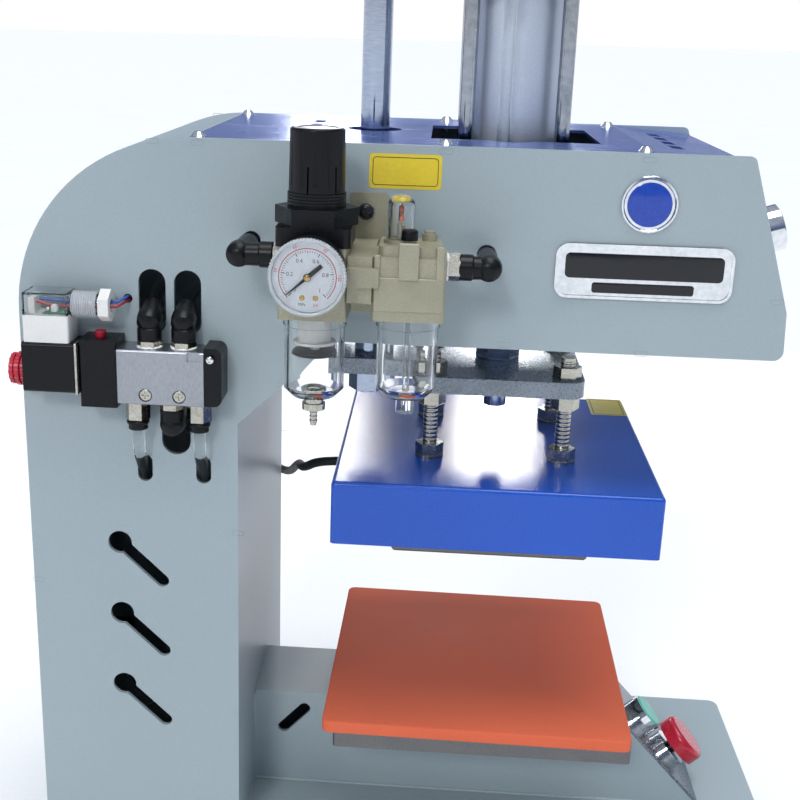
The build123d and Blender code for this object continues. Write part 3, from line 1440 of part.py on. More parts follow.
with BuildPart() as piston_rod:
    bar(Plane(origin=(press_x, 0, piston_bottom)), bore_d - 2 * piston_play, piston_t)
    bar(Plane(origin=(press_x, 0, carrier_top)), rod_d, piston_bottom - carrier_top)
    bar(Plane(origin=(press_x, 0, carrier_top)), washer_d, washer_t)
    hex_bar(Plane(origin=(press_x, 0, carrier_top + washer_t)), nut_af, jam_nut_h)
    foot = facing((press_x, 0, carrier_top), (0, 0, -1))
    bar(foot, thread_d, carrier_t + end_nut_h + rod_end)
    hex_bar(foot.offset(carrier_t), nut_af, end_nut_h)
piston_rod.part.label = "piston_rod"
export_step(piston_rod.part, "parts/piston_rod.step")

tongue_w = 40.0
tongue_reach = 19.6
carrier_r = 12.0

with BuildPart() as carrier_plate:
    with BuildSketch(Plane(origin=(press_x, 0, carrier_bottom))):
        RectangleRounded(carrier_x, carrier_y, carrier_r)
        with Locations((-(guide_offset + tongue_reach) / 2, 0)):
            Rectangle(guide_offset + tongue_reach, tongue_w)
        Circle(thread_d / 2 + screw_play, mode=Mode.SUBTRACT)
        with Locations((-guide_offset, 0)):
            Circle(thread_d / 2 + screw_play, mode=Mode.SUBTRACT)
        with GridLocations(stud_pitch, stud_pitch, 2, 2):
            Circle(stud_d / 2 + screw_play, mode=Mode.SUBTRACT)
    extrude(amount=carrier_t)
    chamfer(carrier_plate.edges().group_by(Axis.Z)[-1], 0.6)
carrier_plate.part.label = "carrier_plate"
export_step(carrier_plate.part, "parts/carrier_plate.step")

with BuildPart() as guide_rod:
    bar(Plane(origin=(guide_x, 0, carrier_top)), rod_d, mount_top - carrier_top + guide_rise)
    chamfer(guide_rod.edges().group_by(Axis.Z)[-1], 1)
    foot = facing((guide_x, 0, carrier_top), (0, 0, -1))
    bar(foot, thread_d, carrier_t + guide_nut_h + 2)
    hex_bar(foot.offset(carrier_t), nut_af - 3, guide_nut_h)
guide_rod.part.label = "guide_rod"
export_step(guide_rod.part, "parts/guide_rod.step")

stud_nut_af = 17.0
stud_nut_h = 8.0
stud_washer_d = 20.0
stud_washer_t = 2.0
stud_over = 6.0
stud_root = 20.0

with BuildPart() as head_studs:
    for stud_x in (press_x - stud_pitch / 2, press_x + stud_pitch / 2):
        for stud_y in (-stud_pitch / 2, stud_pitch / 2):
            top = Plane(origin=(stud_x, stud_y, carrier_top))
            foot = Plane(origin=(stud_x, stud_y, cover_top))
            under = facing((stud_x, stud_y, carrier_bottom), (0, 0, -1))
            stud_length = stud_root + carrier_over_cover + carrier_t + stud_nut_h + stud_over
            bar(foot.offset(-stud_root), stud_d, stud_length)
            hex_bar(top, stud_nut_af, stud_nut_h)
            bar(under, stud_washer_d, stud_washer_t)
            hex_bar(under.offset(stud_washer_t), stud_nut_af, stud_nut_h)
            bar(foot, stud_washer_d, stud_washer_t)
            hex_bar(foot.offset(stud_washer_t), stud_nut_af, stud_nut_h)
head_studs.part.label = "head_studs"
export_step(head_studs.part, "parts/head_studs.step")

cover_r = 3.0
cover_port_y = 26.0
cover_port_z = cover_bottom + 9.5
cover_port_d = 12.0

with BuildPart() as heater_cover:
    with BuildSketch(Plane(origin=(press_x, 0, cover_bottom))):
        RectangleRounded(cover_size, cover_size, cover_r)
    extrude(amount=cover_h)
    fillet(heater_cover.edges().group_by(Axis.Z)[-1], 2.9)
    inner = cover_size - 2 * cover_wall
    with BuildSketch(Plane(origin=(press_x, 0, cover_bottom))):
        RectangleRounded(inner, inner, cover_r - cover_wall)
    extrude(amount=cover_h - cover_wall, mode=Mode.SUBTRACT)
    with BuildSketch(Plane(origin=(press_x, 0, cover_top))):
        with GridLocations(stud_pitch, stud_pitch, 2, 2):
            Circle(stud_d / 2 + screw_play)
    extrude(amount=-cover_wall - 1, mode=Mode.SUBTRACT)
    rear = facing((press_x - cover_size / 2, cover_port_y, cover_port_z), (1, 0, 0))
    bar(rear, cover_port_d, cover_wall + 1, Mode.SUBTRACT)
heater_cover.part.label = "heater_cover"
export_step(heater_cover.part, "parts/heater_cover.step")

with BuildPart() as insulation_board:
    with BuildSketch(Plane(origin=(press_x, 0, plate_bottom + plate_t))):
        Rectangle(board_size, board_size)
        with GridLocations(stud_pitch, stud_pitch, 2, 2):
            Circle(stud_d / 2 + screw_play, mode=Mode.SUBTRACT)
    extrude(amount=cover_top - cover_wall - plate_bottom - plate_t)
insulation_board.part.label = "insulation_board"
export_step(insulation_board.part, "parts/insulation_board.step")

with BuildPart() as heating_plate:
    with BuildSketch(Plane(origin=(press_x + plate_shift, 0, plate_bottom))):
        RectangleRounded(plate_x, plate_y, 2)
    extrude(amount=plate_t)
    chamfer(heating_plate.edges().group_by(Axis.Z)[0], 1.5)
    rear = facing((press_x + plate_shift - plate_x / 2, cover_port_y, cover_port_z), (1, 0, 0))
    bar(rear, cover_port_d + 1, 8, Mode.SUBTRACT)
heating_plate.part.label = "heating_plate"
export_step(heating_plate.part, "parts/heating_plate.step")

lead_play = 0.3
cover_gland_af = 15.0

with BuildPart() as cover_gland:
    rear = facing((press_x - cover_size / 2, cover_port_y, cover_port_z), (-1, 0, 0))
    hex_bar(rear, cover_gland_af, 3)
    bar(rear.offset(-6), cover_port_d - 0.3, 6)
    bar(rear.offset(-6), lead_d + 2 * lead_play, 20, Mode.SUBTRACT)
cover_gland.part.label = "cover_gland"
export_step(cover_gland.part, "parts/cover_gland.step")

# Heater lead: from the gland in the far plate down and round into the gland in the cover
lead_start = (gland_x, arm_width / 2 + 4, arm_top - gland_drop)
lead_end = (press_x - cover_size / 2 + 5, cover_port_y, cover_port_z)
lead_points = [
    lead_start,
    (gland_x, arm_width / 2 + 49, arm_top - gland_drop),
    (gland_x + 7, arm_width / 2 + 55, arm_top - gland_drop - 68),
    (press_x - 216.5, arm_width / 2 + 48, arm_top - 283),
    (press_x - 170.5, arm_width / 2 + 33.5, arm_top - 314),
    (press_x - 153, 92, arm_top - 280),
    (press_x - 146, 44.5, arm_top - 269),
    (press_x - 129.5, cover_port_y, cover_port_z),
    lead_end,
]

with BuildPart() as heater_lead:
    tube(lead_points, lead_d)
print("heater lead radii", [round(radius, 1) for radius in bend_radii(lead_points)])
lead_length = heater_lead.part.volume / (3.14159265 * lead_d ** 2 / 4)
print("heater lead length", round(lead_length, 1))
heater_lead.part.label = "heater_lead"
export_step(heater_lead.part, "parts/heater_lead.step")
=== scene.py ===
from math import cos, pi, radians, sin
import bmesh
import bpy
from mathutils import Matrix, Vector


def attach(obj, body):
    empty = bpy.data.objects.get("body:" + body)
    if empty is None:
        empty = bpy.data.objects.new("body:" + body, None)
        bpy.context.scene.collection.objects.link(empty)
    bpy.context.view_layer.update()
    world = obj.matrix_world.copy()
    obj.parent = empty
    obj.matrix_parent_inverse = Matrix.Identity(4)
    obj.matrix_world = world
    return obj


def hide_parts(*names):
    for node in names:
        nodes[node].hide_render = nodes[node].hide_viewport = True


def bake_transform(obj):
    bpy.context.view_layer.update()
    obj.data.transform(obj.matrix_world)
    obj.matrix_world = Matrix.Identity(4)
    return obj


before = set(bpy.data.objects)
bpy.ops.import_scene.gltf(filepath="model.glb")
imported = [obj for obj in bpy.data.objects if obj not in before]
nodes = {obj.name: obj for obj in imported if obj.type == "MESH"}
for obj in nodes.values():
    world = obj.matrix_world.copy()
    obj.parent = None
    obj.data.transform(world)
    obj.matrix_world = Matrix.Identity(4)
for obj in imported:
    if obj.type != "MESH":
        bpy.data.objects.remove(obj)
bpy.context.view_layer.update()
mm = 0.001
print("frame loaded:", len(nodes), "nodes")


def linear(hexText):
    values = [int(hexText[i:i + 2], 16) / 255 for i in (1, 3, 5)]
    values = [v / 12.92 if v <= 0.04045 else ((v + 0.055) / 1.055) ** 2.4 for v in values]
    return (*values, 1.0)


def addNode(tree, kind, settings=None, links=None):
    node = tree.nodes.new(kind)
    for key, value in (settings or {}).items():
        if isinstance(key, int) or key in node.inputs:
            node.inputs[key].default_value = value
        else:
            setattr(node, key, value)
    for key, socket in (links or {}).items():
        tree.links.new(socket, node.inputs[key])
    return node


def makeSurface(name, look):  # a fine grain and a broad drift of colour, sizes in real millimetres
    material = bpy.data.materials.new(name)
    material.use_nodes = True
    tree = material.node_tree
    shader = tree.nodes["Principled BSDF"]
    shader.inputs["Metallic"].default_value = look.get("metallic", 0.0)
    for key, value in look.get("shader", {}).items():
        shader.inputs[key].default_value = value
    place = addNode(tree, "ShaderNodeTexCoord").outputs["Object"]
    stretched = addNode(tree, "ShaderNodeMapping", {"Scale": look.get("stretch", (1, 1, 1))}, {"Vector": place})
    grain = addNode(tree, "ShaderNodeTexNoise",
                    {"Scale": 1000 / look.get("grain", 1.0), "Detail": 3.0, "Roughness": 0.6},
                    {"Vector": stretched.outputs["Vector"]})
    drift = addNode(tree, "ShaderNodeTexNoise", {"Scale": 1000 / look.get("drift", 80.0), "Detail": 2.0},
                    {"Vector": place})
    speck = addNode(tree, "ShaderNodeMapRange", {"From Min": 0.35, "From Max": 0.65},
                    {"Value": grain.outputs[0]})
    cloud = addNode(tree, "ShaderNodeMapRange", {"From Min": 0.3, "From Max": 0.7},
                    {"Value": drift.outputs[0]})
    share = addNode(tree, "ShaderNodeMath", {"operation": "MULTIPLY_ADD", 1: look.get("speckShare", 0.6)},
                    {0: speck.outputs[0]})
    part = addNode(tree, "ShaderNodeMath", {"operation": "MULTIPLY", 1: 1 - look.get("speckShare", 0.6)},
                   {0: cloud.outputs[0]})
    tree.links.new(part.outputs[0], share.inputs[2])
    tone = addNode(tree, "ShaderNodeMix",
                   {"data_type": "RGBA", 6: linear(look["colour"]), 7: linear(look.get("accent", look["colour"]))},
                   {0: share.outputs[0]})
    tree.links.new(tone.outputs[2], shader.inputs["Base Color"])
    low, high = look["roughness"]
    gloss = addNode(tree, "ShaderNodeMapRange", {"From Min": 0.0, "From Max": 1.0, "To Min": low, "To Max": high},
                    {"Value": share.outputs[0]})
    tree.links.new(gloss.outputs[0], shader.inputs["Roughness"])
    if look.get("bump"):
        bump = addNode(tree, "ShaderNodeBump", {"Strength": 1.0, "Distance": look["bump"] * mm},
                       {"Height": grain.outputs[0]})
        tree.links.new(bump.outputs["Normal"], shader.inputs["Normal"])
    material.diffuse_color = linear(look["colour"])
    return material


surfaces = {
    # epoxy powder coat on sheet steel: matt, with a fine sandy grit about 0.5 mm across
    "powderCoatGrey": {"colour": "#95a4a9", "accent": "#a0adb1", "roughness": (0.3, 0.42),
                       "grain": 0.9, "bump": 0.04, "drift": 160.0},
    # cold rolled steel sheet, brushed along the arm, mirror-like between the streaks: its blue colour is a painted
    # reflection of blue surroundings, and the pale streaks along X are painted highlights
    "steelSheetPaintedReflection": {"colour": "#5074dc", "accent": "#a9bcee", "metallic": 0.8, "roughness": (0.12, 0.3),
                          "stretch": (0.06, 1, 1), "grain": 0.9, "bump": 0.012, "drift": 40.0},
    # zinc plated steel: pale yellowish grey, slightly cloudy
    "zincPlate": {"colour": "#9c9a90", "accent": "#c9c6ba", "metallic": 1.0, "roughness": (0.16, 0.3),
                  "grain": 1.6, "bump": 0.004, "drift": 12.0},
    # hard chrome on ground steel rod: near mirror, faint rings round the rod
    "groundRod": {"colour": "#929db2", "accent": "#b7c1d2", "metallic": 1.0, "roughness": (0.08, 0.15),
                  "stretch": (1, 1, 8), "grain": 6.0, "bump": 0.002, "drift": 60.0},
    # decorative chrome on brass: clean mirror
    "chromePlate": {"colour": "#cfd3d6", "accent": "#eef0f1", "metallic": 1.0, "roughness": (0.05, 0.12),
                    "grain": 3.0, "drift": 25.0},
    # machined steel plate, lightly blackened: grey sheen with tool marks
    "blackenedPlate": {"colour": "#676f77", "accent": "#8f98a1", "metallic": 0.7, "roughness": (0.2, 0.36),
                       "grain": 1.4, "bump": 0.06, "drift": 25.0},
    # extruded and anodised aluminium: silky, drawn lines along the bar
    "anodisedAluminium": {"colour": "#92969c", "accent": "#a6aab0", "metallic": 1.0, "roughness": (0.28, 0.36),
                          "stretch": (1, 1, 0.3), "grain": 0.9, "bump": 0.006, "drift": 60.0},
    # hard anodised barrel profile: paler and less glossy than the valve
    "barrelAluminium": {"colour": "#c2cad6", "accent": "#d6dde6", "metallic": 0.85, "roughness": (0.4, 0.5),
                        "grain": 0.9, "bump": 0.004, "drift": 60.0},
    # milled aluminium tooling plate, dulled by heat: rough cutter marks
    "milledAluminium": {"colour": "#5f5f60", "accent": "#7a7a7a", "metallic": 0.8, "roughness": (0.36, 0.52),
                        "stretch": (1, 0.08, 1), "grain": 1.2, "bump": 0.02, "drift": 30.0},
    # epoxy powder coat over degreased steel, glossy with metal flakes that sparkle
    "powderCoatBlue": {"colour": "#124aad", "accent": "#1a57c2", "roughness": (0.12, 0.22),
                       "grain": 1.5, "bump": 0.09, "drift": 120.0},
    # silicone foam rubber sheet: soft, chalky, with a very fine open texture; the orange is painted lighter than the
    # rubber's own tone, as painted light in place of the light that the head's shadow keeps off the pad
    "siliconeFoamPaintedLight": {"colour": "#d2603f", "accent": "#da6a49", "roughness": (0.55, 0.72),
                     "grain": 1.0, "bump": 0.03, "drift": 90.0,
                     "shader": {"Subsurface Weight": 0.08, "Subsurface Scale": 0.003, "Specular IOR Level": 0.25}},
    # moulded neoprene: dull black with a faint bloom
    "mouldedRubber": {"colour": "#17181a", "accent": "#26272a", "roughness": (0.55, 0.72),
                      "grain": 1.2, "bump": 0.03, "drift": 20.0},
    # injection moulded nylon with glass fibre: black with a fine spark-eroded skin
    "blackNylon": {"colour": "#08090b", "accent": "#121418", "roughness": (0.24, 0.4),
                   "grain": 0.7, "bump": 0.02, "drift": 15.0, "shader": {"Specular IOR Level": 0.22}},
    # polished ABS: smooth and glossy
    "redAbs": {"colour": "#a4122a", "accent": "#bf2038", "roughness": (0.18, 0.3), "grain": 0.9, "bump": 0.008,
               "drift": 12.0},
    "greenAbs": {"colour": "#4fae9c", "accent": "#66bfae", "roughness": (0.28, 0.4), "grain": 0.9, "bump": 0.008,
                 "drift": 12.0},
    "whiteNylon": {"colour": "#d6d6d2", "accent": "#e6e6e3", "roughness": (0.34, 0.46), "grain": 0.9, "bump": 0.01,
                   "drift": 12.0},
    # die cast zinc with a champagne polyester coat: soft metallic sheen, slightly pitted
    "champagneCasting": {"colour": "#93907a", "accent": "#aaa691", "metallic": 0.4, "roughness": (0.34, 0.5),
                         "grain": 0.9, "bump": 0.03, "drift": 18.0},
    # turned brass
    "turnedBrass": {"colour": "#a9854a", "accent": "#cfae70", "metallic": 1.0, "roughness": (0.2, 0.34),
                    "grain": 1.4, "bump": 0.006, "drift": 10.0},
    # printed polyester film: flat yellow with a light gloss
    "labelFilm": {"colour": "#dcc11a", "accent": "#e6cd2c", "roughness": (0.28, 0.36), "grain": 2.0, "drift": 20.0},
    # calcium silicate board: chalky and porous
    "insulationBoard": {"colour": "#c9c3b2", "accent": "#dad5c6", "roughness": (0.8, 0.95), "grain": 2.0,
                        "bump": 0.1, "drift": 30.0},
    # PVC covered hook-up wire
    "wireRed": {"colour": "#9a2433", "accent": "#ae3040", "roughness": (0.34, 0.44), "grain": 1.5, "drift": 10.0},
    "wireBlue": {"colour": "#2c54ad", "accent": "#3a63bd", "roughness": (0.34, 0.44), "grain": 1.5, "drift": 10.0},
    # sintered polyethylene filter
    "filterWhite": {"colour": "#dcdcd6", "accent": "#ececea", "roughness": (0.6, 0.75), "grain": 0.8,
                    "bump": 0.03, "drift": 8.0},
    # printed dial card: plain white enamel
    "dialWhite": {"colour": "#dfe4ea", "accent": "#e9edf1", "roughness": (0.4, 0.5), "grain": 3.0, "drift": 12.0},
    "inkBlack": {"colour": "#16181d", "accent": "#1f2228", "roughness": (0.45, 0.55), "grain": 2.0, "drift": 10.0},
    "inkRed": {"colour": "#c33a35", "accent": "#cf4843", "roughness": (0.45, 0.55), "grain": 2.0, "drift": 10.0},
    # fired enamel in the badge
    "blueEnamel": {"colour": "#1f3f9e", "accent": "#274bb0", "roughness": (0.12, 0.2), "grain": 3.0, "drift": 20.0},
    # clear moulded polycarbonate: bright rims, hardly any colour
    "clearPolycarbonate": {"colour": "#fbfdfd", "accent": "#ffffff", "roughness": (0.02, 0.05), "grain": 4.0,
                           "drift": 30.0, "shader": {"Transmission Weight": 1.0, "IOR": 1.35}},
    # clear polyurethane air tube, a little milky
    "airTube": {"colour": "#f2f6f6", "accent": "#ffffff", "roughness": (0.03, 0.06), "grain": 4.0, "drift": 30.0,
                "shader": {"Transmission Weight": 1.0, "IOR": 1.2}},
    # thread seal tape
    "sealTape": {"colour": "#e9ebea", "accent": "#f6f7f6", "roughness": (0.45, 0.6), "grain": 1.0, "bump": 0.05,
                 "drift": 6.0},
    # black braided polyester sleeve: a coarse crossing weave
    "braidedSleeve": {"colour": "#0e0f12", "accent": "#24262b", "roughness": (0.5, 0.66), "grain": 1.6, "bump": 0.25,
                      "drift": 12.0},
    # drawn copper
    "copperTube": {"colour": "#b4553a", "accent": "#cf7a55", "metallic": 1.0, "roughness": (0.2, 0.32), "grain": 1.5,
                   "bump": 0.004, "drift": 8.0},
    # glass-fibre circuit board under green varnish
    "circuitBoard": {"colour": "#2f7d5a", "accent": "#58a884", "roughness": (0.24, 0.36), "grain": 1.2, "drift": 6.0},
    # ground joint line, painted over: a little darker than the plate, as painted shade standing in for the shadow in
    # the gap
    "seamShadow": {"colour": "#7d8b90", "accent": "#8b989c", "roughness": (0.42, 0.52), "grain": 1.0, "drift": 20.0},
    # ground and chrome plated tie rod: long dark and bright reflections
    "tieRodSteel": {"colour": "#80868f", "accent": "#a5abb4", "metallic": 1.0, "roughness": (0.06, 0.12),
                    "grain": 5.0, "drift": 50.0},
    # moulded clear rim, frosted by its knurls
    "frostedRim": {"colour": "#e3e9ee", "accent": "#f4f7f9", "roughness": (0.12, 0.24), "grain": 1.2, "drift": 8.0,
                   "shader": {"Transmission Weight": 0.55, "IOR": 1.45}},
    # black oxide on small screws
    "blackScrew": {"colour": "#1b1d21", "accent": "#2b2e33", "metallic": 0.6, "roughness": (0.2, 0.34), "grain": 1.5,
                   "drift": 6.0},
    # smoked acrylic window
    "smokedWindow": {"colour": "#0a0d12", "accent": "#10141a", "roughness": (0.08, 0.14), "grain": 3.0,
                     "drift": 30.0},
}
paint = {name: makeSurface(name, look) for name, look in surfaces.items()}
print("surfaces:", len(paint))


def threadOnStuds(material, look):  # fine ridges along Z, only on the studs themselves
    tree = material.node_tree
    shader = tree.nodes["Principled BSDF"]
    place = addNode(tree, "ShaderNodeTexCoord").outputs["Object"]
    moved = addNode(tree, "ShaderNodeMapping", {"Location": (-look["centre"][0] * mm, -look["centre"][1] * mm, 0)},
                    {"Vector": place})
    folded = addNode(tree, "ShaderNodeVectorMath", {"operation": "ABSOLUTE"}, {0: moved.outputs["Vector"]})
    flat = addNode(tree, "ShaderNodeVectorMath", {"operation": "MULTIPLY", 1: (1, 1, 0)}, {0: folded.outputs[0]})
    away = addNode(tree, "ShaderNodeVectorMath",
                   {"operation": "DISTANCE", 1: (look["offset"][0] * mm, look["offset"][1] * mm, 0)},
                   {0: flat.outputs[0]})
    inside = addNode(tree, "ShaderNodeMath", {"operation": "LESS_THAN", 1: look["radius"] * mm},
                     {0: away.outputs["Value"]})
    ridges = addNode(tree, "ShaderNodeTexWave",
                     {"bands_direction": "Z", "Scale": 1000 / look["pitch"] / 20 * pi, "Distortion": 0.0},
                     {"Vector": place})
    masked = addNode(tree, "ShaderNodeMath", {"operation": "MULTIPLY"}, {0: ridges.outputs[1], 1: inside.outputs[0]})
    old = shader.inputs["Normal"].links[0].from_socket if shader.inputs["Normal"].links else None
    bump = addNode(tree, "ShaderNodeBump", {"Strength": 1.0, "Distance": look["depth"] * mm},
                   {"Height": masked.outputs[0]})
    if old:
        tree.links.new(old, bump.inputs["Normal"])
    tree.links.new(bump.outputs["Normal"], shader.inputs["Normal"])


def place(at, normal=(0, 0, 1), across=None):  # turn and place in mm: local Z along normal, local X along across
    up = Vector(normal).normalized()
    side = Vector(across or ((1, 0, 0) if abs(up.x) < 0.9 else (0, 1, 0)))
    side = (side - up * side.dot(up)).normalized()
    turn = Matrix((side, up.cross(side), up)).transposed().to_4x4()
    return Matrix.Translation(Vector(at)) @ turn


def keep(shape, name, finish, body, spot=None, smoothTo=35):  # finished mesh in metres, riding on its body
    bmesh.ops.remove_doubles(shape, verts=shape.verts, dist=0.002)
    bmesh.ops.dissolve_degenerate(shape, edges=shape.edges, dist=0.001)
    bmesh.ops.recalc_face_normals(shape, faces=shape.faces)
    bmesh.ops.transform(shape, matrix=Matrix.Scale(mm, 4) @ (spot or Matrix()), verts=shape.verts)
    mesh = bpy.data.meshes.new(name)
    shape.to_mesh(mesh)
    shape.free()
    mesh.materials.append(paint[finish])
    mesh.polygons.foreach_set("use_smooth", [True] * len(mesh.polygons))
    mesh.set_sharp_from_angle(angle=radians(smoothTo))
    piece = bpy.data.objects.new(name, mesh)
    bpy.context.scene.collection.objects.link(piece)
    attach(piece, body)
    return piece


def turned(profile, steps=64, shape=None, spot=None):  # lathe work: (radius, height) corners in mm, spun round Z
    one = bmesh.new()
    corners = [one.verts.new((radius, 0, height)) for radius, height in profile]
    lines = [one.edges.new(pair) for pair in zip(corners, corners[1:])]
    bmesh.ops.spin(one, geom=corners + lines, cent=(0, 0, 0), axis=(0, 0, 1), angle=2 * pi, steps=steps,
                   use_merge=True)
    return joined(shape, one, spot)


def slab(width, height, thickness, corner=0.0, soften=0.0, shape=None, spot=None):  # rounded plate standing on z = 0
    one = bmesh.new()
    bmesh.ops.create_cube(one, size=1)
    bmesh.ops.scale(one, vec=(width, height, thickness), verts=one.verts)
    bmesh.ops.translate(one, vec=(0, 0, thickness / 2), verts=one.verts)
    if corner:
        upright = [e for e in one.edges if abs(e.verts[0].co.z - e.verts[1].co.z) > thickness * 0.9]
        bmesh.ops.bevel(one, geom=upright, offset=corner, segments=6, profile=0.5, affect="EDGES", material=-1)
    if soften:
        top = [e for e in one.edges if min(v.co.z for v in e.verts) > thickness * 0.9]
        bmesh.ops.bevel(one, geom=top, offset=soften, segments=3, profile=0.5, affect="EDGES", material=-1)
    return joined(shape, one, spot)


def roundFrame(width, height, corner, line, thickness, shape=None, spot=None):  # outline of a rounded rectangle
    one = slab(width, height, thickness, corner)
    for level in (0, thickness):
        face = [f for f in one.faces if all(abs(v.co.z - level) < 1e-5 for v in f.verts)]
        bmesh.ops.inset_region(one, faces=face, thickness=line, use_even_offset=True)
        bmesh.ops.delete(one, geom=face, context="FACES_ONLY")
    openEdges = [e for e in one.edges if len(e.link_faces) == 1]
    bmesh.ops.bridge_loops(one, edges=openEdges)
    return joined(shape, one, spot)


def joined(shape, one, spot=None):  # puts one shape into another
    if spot is not None:
        bmesh.ops.transform(one, matrix=spot, verts=one.verts)
    if shape is None:
        return one
    part = bpy.data.meshes.new("part")
    one.to_mesh(part)
    one.free()
    shape.from_mesh(part)
    bpy.data.meshes.remove(part)
    return shape


def wording(shape, text, size, spot, depth=0.06):  # dial figures, in mm, as a thin raised mesh
    curve = bpy.data.curves.new("wording", "FONT")
    curve.body, curve.size, curve.extrude = text, size, depth / 2
    curve.align_x, curve.align_y = "CENTER", "CENTER"
    curve.resolution_u = 3
    holder = bpy.data.objects.new("wording", curve)
    bpy.context.scene.collection.objects.link(holder)
    bpy.context.view_layer.update()
    flat = bpy.data.meshes.new_from_object(holder.evaluated_get(bpy.context.evaluated_depsgraph_get()))
    one = bmesh.new()
    one.from_mesh(flat)
    bpy.data.objects.remove(holder)
    bpy.data.curves.remove(curve)
    bpy.data.meshes.remove(flat)
    return joined(shape, one, spot)


paint["rolledThread"] = makeSurface("rolledThread", surfaces["zincPlate"])
studThread = {"centre": (50, 0), "offset": (46, 46), "radius": 5.2, "pitch": 1.5, "depth": 0.22}
threadOnStuds(paint["rolledThread"], studThread)

nodeFinish = {
    "powderCoatGrey": ["side_plate_near", "side_plate_far", "rear_cover", "front_panel", "underside_sheet",
                       "base_box", "neck_box"],
    "steelSheetPaintedReflection": ["top_plate"],
    "tieRodSteel": ["tie_rods"],
    "zincPlate": ["frame_ports", "hex_fittings", "pan_screws", "filter_drain", "regulator_spindle"],
    "rolledThread": ["head_studs"],
    "groundRod": ["piston_rod", "guide_rod"],
    "chromePlate": ["button_bezels", "front_button", "top_screws"],
    "blackenedPlate": ["carrier_plate", "mount_plate", "nose_panel"],
    "anodisedAluminium": ["cylinder_caps", "valve_body"],
    "barrelAluminium": ["cylinder_barrel"],
    "milledAluminium": ["heating_plate", "lower_platen"],
    "powderCoatBlue": ["heater_cover"],
    "mouldedRubber": ["base_feet"],
    "blackNylon": ["valve_ends", "solenoid_coil", "push_elbows", "regulator_bonnet", "regulator_knob", "gauge_case",
                   "power_inlet", "controller", "cover_gland", "stop_stem", "gauge_needle"],
    "redAbs": ["coil_nut", "stop_button", "override_button"],
    "greenAbs": ["start_button"],
    "whiteNylon": ["din_connector"],
    "champagneCasting": ["frl_bracket", "regulator_body", "lubricator_body"],
    "turnedBrass": ["guide_bush"],
    "insulationBoard": ["insulation_board"],
    "filterWhite": ["filter_element"],
    "clearPolycarbonate": ["din_hood", "frl_bowls", "sight_dome"],
    "airTube": ["valve_tubes"],
}
for finishName, names in nodeFinish.items():
    for name in names:
        mesh = nodes[name].data
        mesh.materials.clear()
        mesh.materials.append(paint[finishName])
print("finishes on", sum(len(names) for names in nodeFinish.values()), "nodes")

# camera at the photograph's place; the rows are the directions to its right, down and forward
cameraPlace = {"lens": 54.86, "shift": (0.0459, 0.0068), "at": (4.8, -857.6, 641.3),
               "right": (0.99731651, 0.06782218, 0.02756696), "down": (0.0465572, -0.2969547, -0.95375591),
               "forward": (-0.05649966, 0.95247995, -0.29931543)}
lensData = bpy.data.cameras.new("camera")
lensData.lens = cameraPlace["lens"]
lensData.shift_x, lensData.shift_y = cameraPlace["shift"]
lensData.clip_start, lensData.clip_end = 0.01, 50
camera = bpy.data.objects.new("camera", lensData)
bpy.context.scene.collection.objects.link(camera)
axes = Matrix((cameraPlace["right"], [-v for v in cameraPlace["down"]], [-v for v in cameraPlace["forward"]]))
camera.matrix_world = Matrix.Translation(Vector(cameraPlace["at"]) * mm) @ axes.transposed().to_4x4()
bpy.context.scene.camera = camera

# plain studio: two soft distant keys from the front and the left, one from above for the floor, and two low
# panels behind the machine that show as the glare on the cover's top
suns = {
    "keyFront": {"towards": (0.2, 0.83, -0.55), "angle": 12, "power": 0.9, "tint": "#ffffff"},
    "keyLeft": {"towards": (0.68, 0.74, -0.5), "angle": 9, "power": 0.25, "tint": "#fffaf2"},
    "fromAbove": {"towards": (-0.1, 0.12, -1.0), "angle": 40, "power": 2.0, "tint": "#ffffff"},
}
panels = {
    "glareMiddle": {"at": (0.14, 1.6, 0.90), "size": (0.13, 0.19), "power": 2.4, "tint": "#ffffff"},
    "glareLeft": {"at": (-0.22, 1.6, 0.92), "size": (0.16, 0.22), "power": 1.5, "tint": "#ffffff"},
}


def hangLight(name, light, at, towards, look):
    light.energy = look["power"]
    light.color = linear(look["tint"])[:3]
    holder = bpy.data.objects.new(name, light)
    holder.visible_camera = False
    bpy.context.scene.collection.objects.link(holder)
    turn = Vector(towards).to_track_quat("-Z", "Y").to_matrix().to_4x4()
    holder.matrix_world = Matrix.Translation(Vector(at)) @ turn


for name, lamp in suns.items():
    light = bpy.data.lights.new(name, "SUN")
    light.angle = radians(lamp["angle"])
    hangLight(name, light, (0, 0, 3), lamp["towards"], lamp)
for name, lamp in panels.items():
    light = bpy.data.lights.new(name, "AREA")
    light.shape = "RECTANGLE"
    light.size, light.size_y = lamp["size"]
    hangLight(name, light, lamp["at"], (0, -1, -0.28), lamp)

# the studio's surroundings by height, as the metals and the paint mirror them: white at the floor's edge, dim
# blue above it, paler overhead; the camera itself sees plain white behind the machine
world = bpy.data.worlds.new("studio")
bpy.context.scene.world = world
world.use_nodes = True
surround = {"strength": 1.0, "bands": [(0.0, "#ffffff"), (0.512, "#ffffff"), (0.53, "#6c7ca0"), (0.58, "#505f84"),
                                       (0.66, "#72809a"), (0.8, "#9fa9ba"), (1.0, "#b6bcc7")]}
sky = world.node_tree
height = addNode(sky, "ShaderNodeSeparateXYZ", None, {0: addNode(sky, "ShaderNodeTexCoord").outputs["Generated"]})
level = addNode(sky, "ShaderNodeMapRange", {"From Min": -1.0, "From Max": 1.0}, {"Value": height.outputs["Z"]})
ramp = addNode(sky, "ShaderNodeValToRGB", None, {0: level.outputs[0]})
for index, (stop, tint) in enumerate(surround["bands"]):
    mark = ramp.color_ramp.elements[index] if index < 2 else ramp.color_ramp.elements.new(stop)
    mark.position = stop
    mark.color = linear(tint)
backdrop = sky.nodes["Background"]
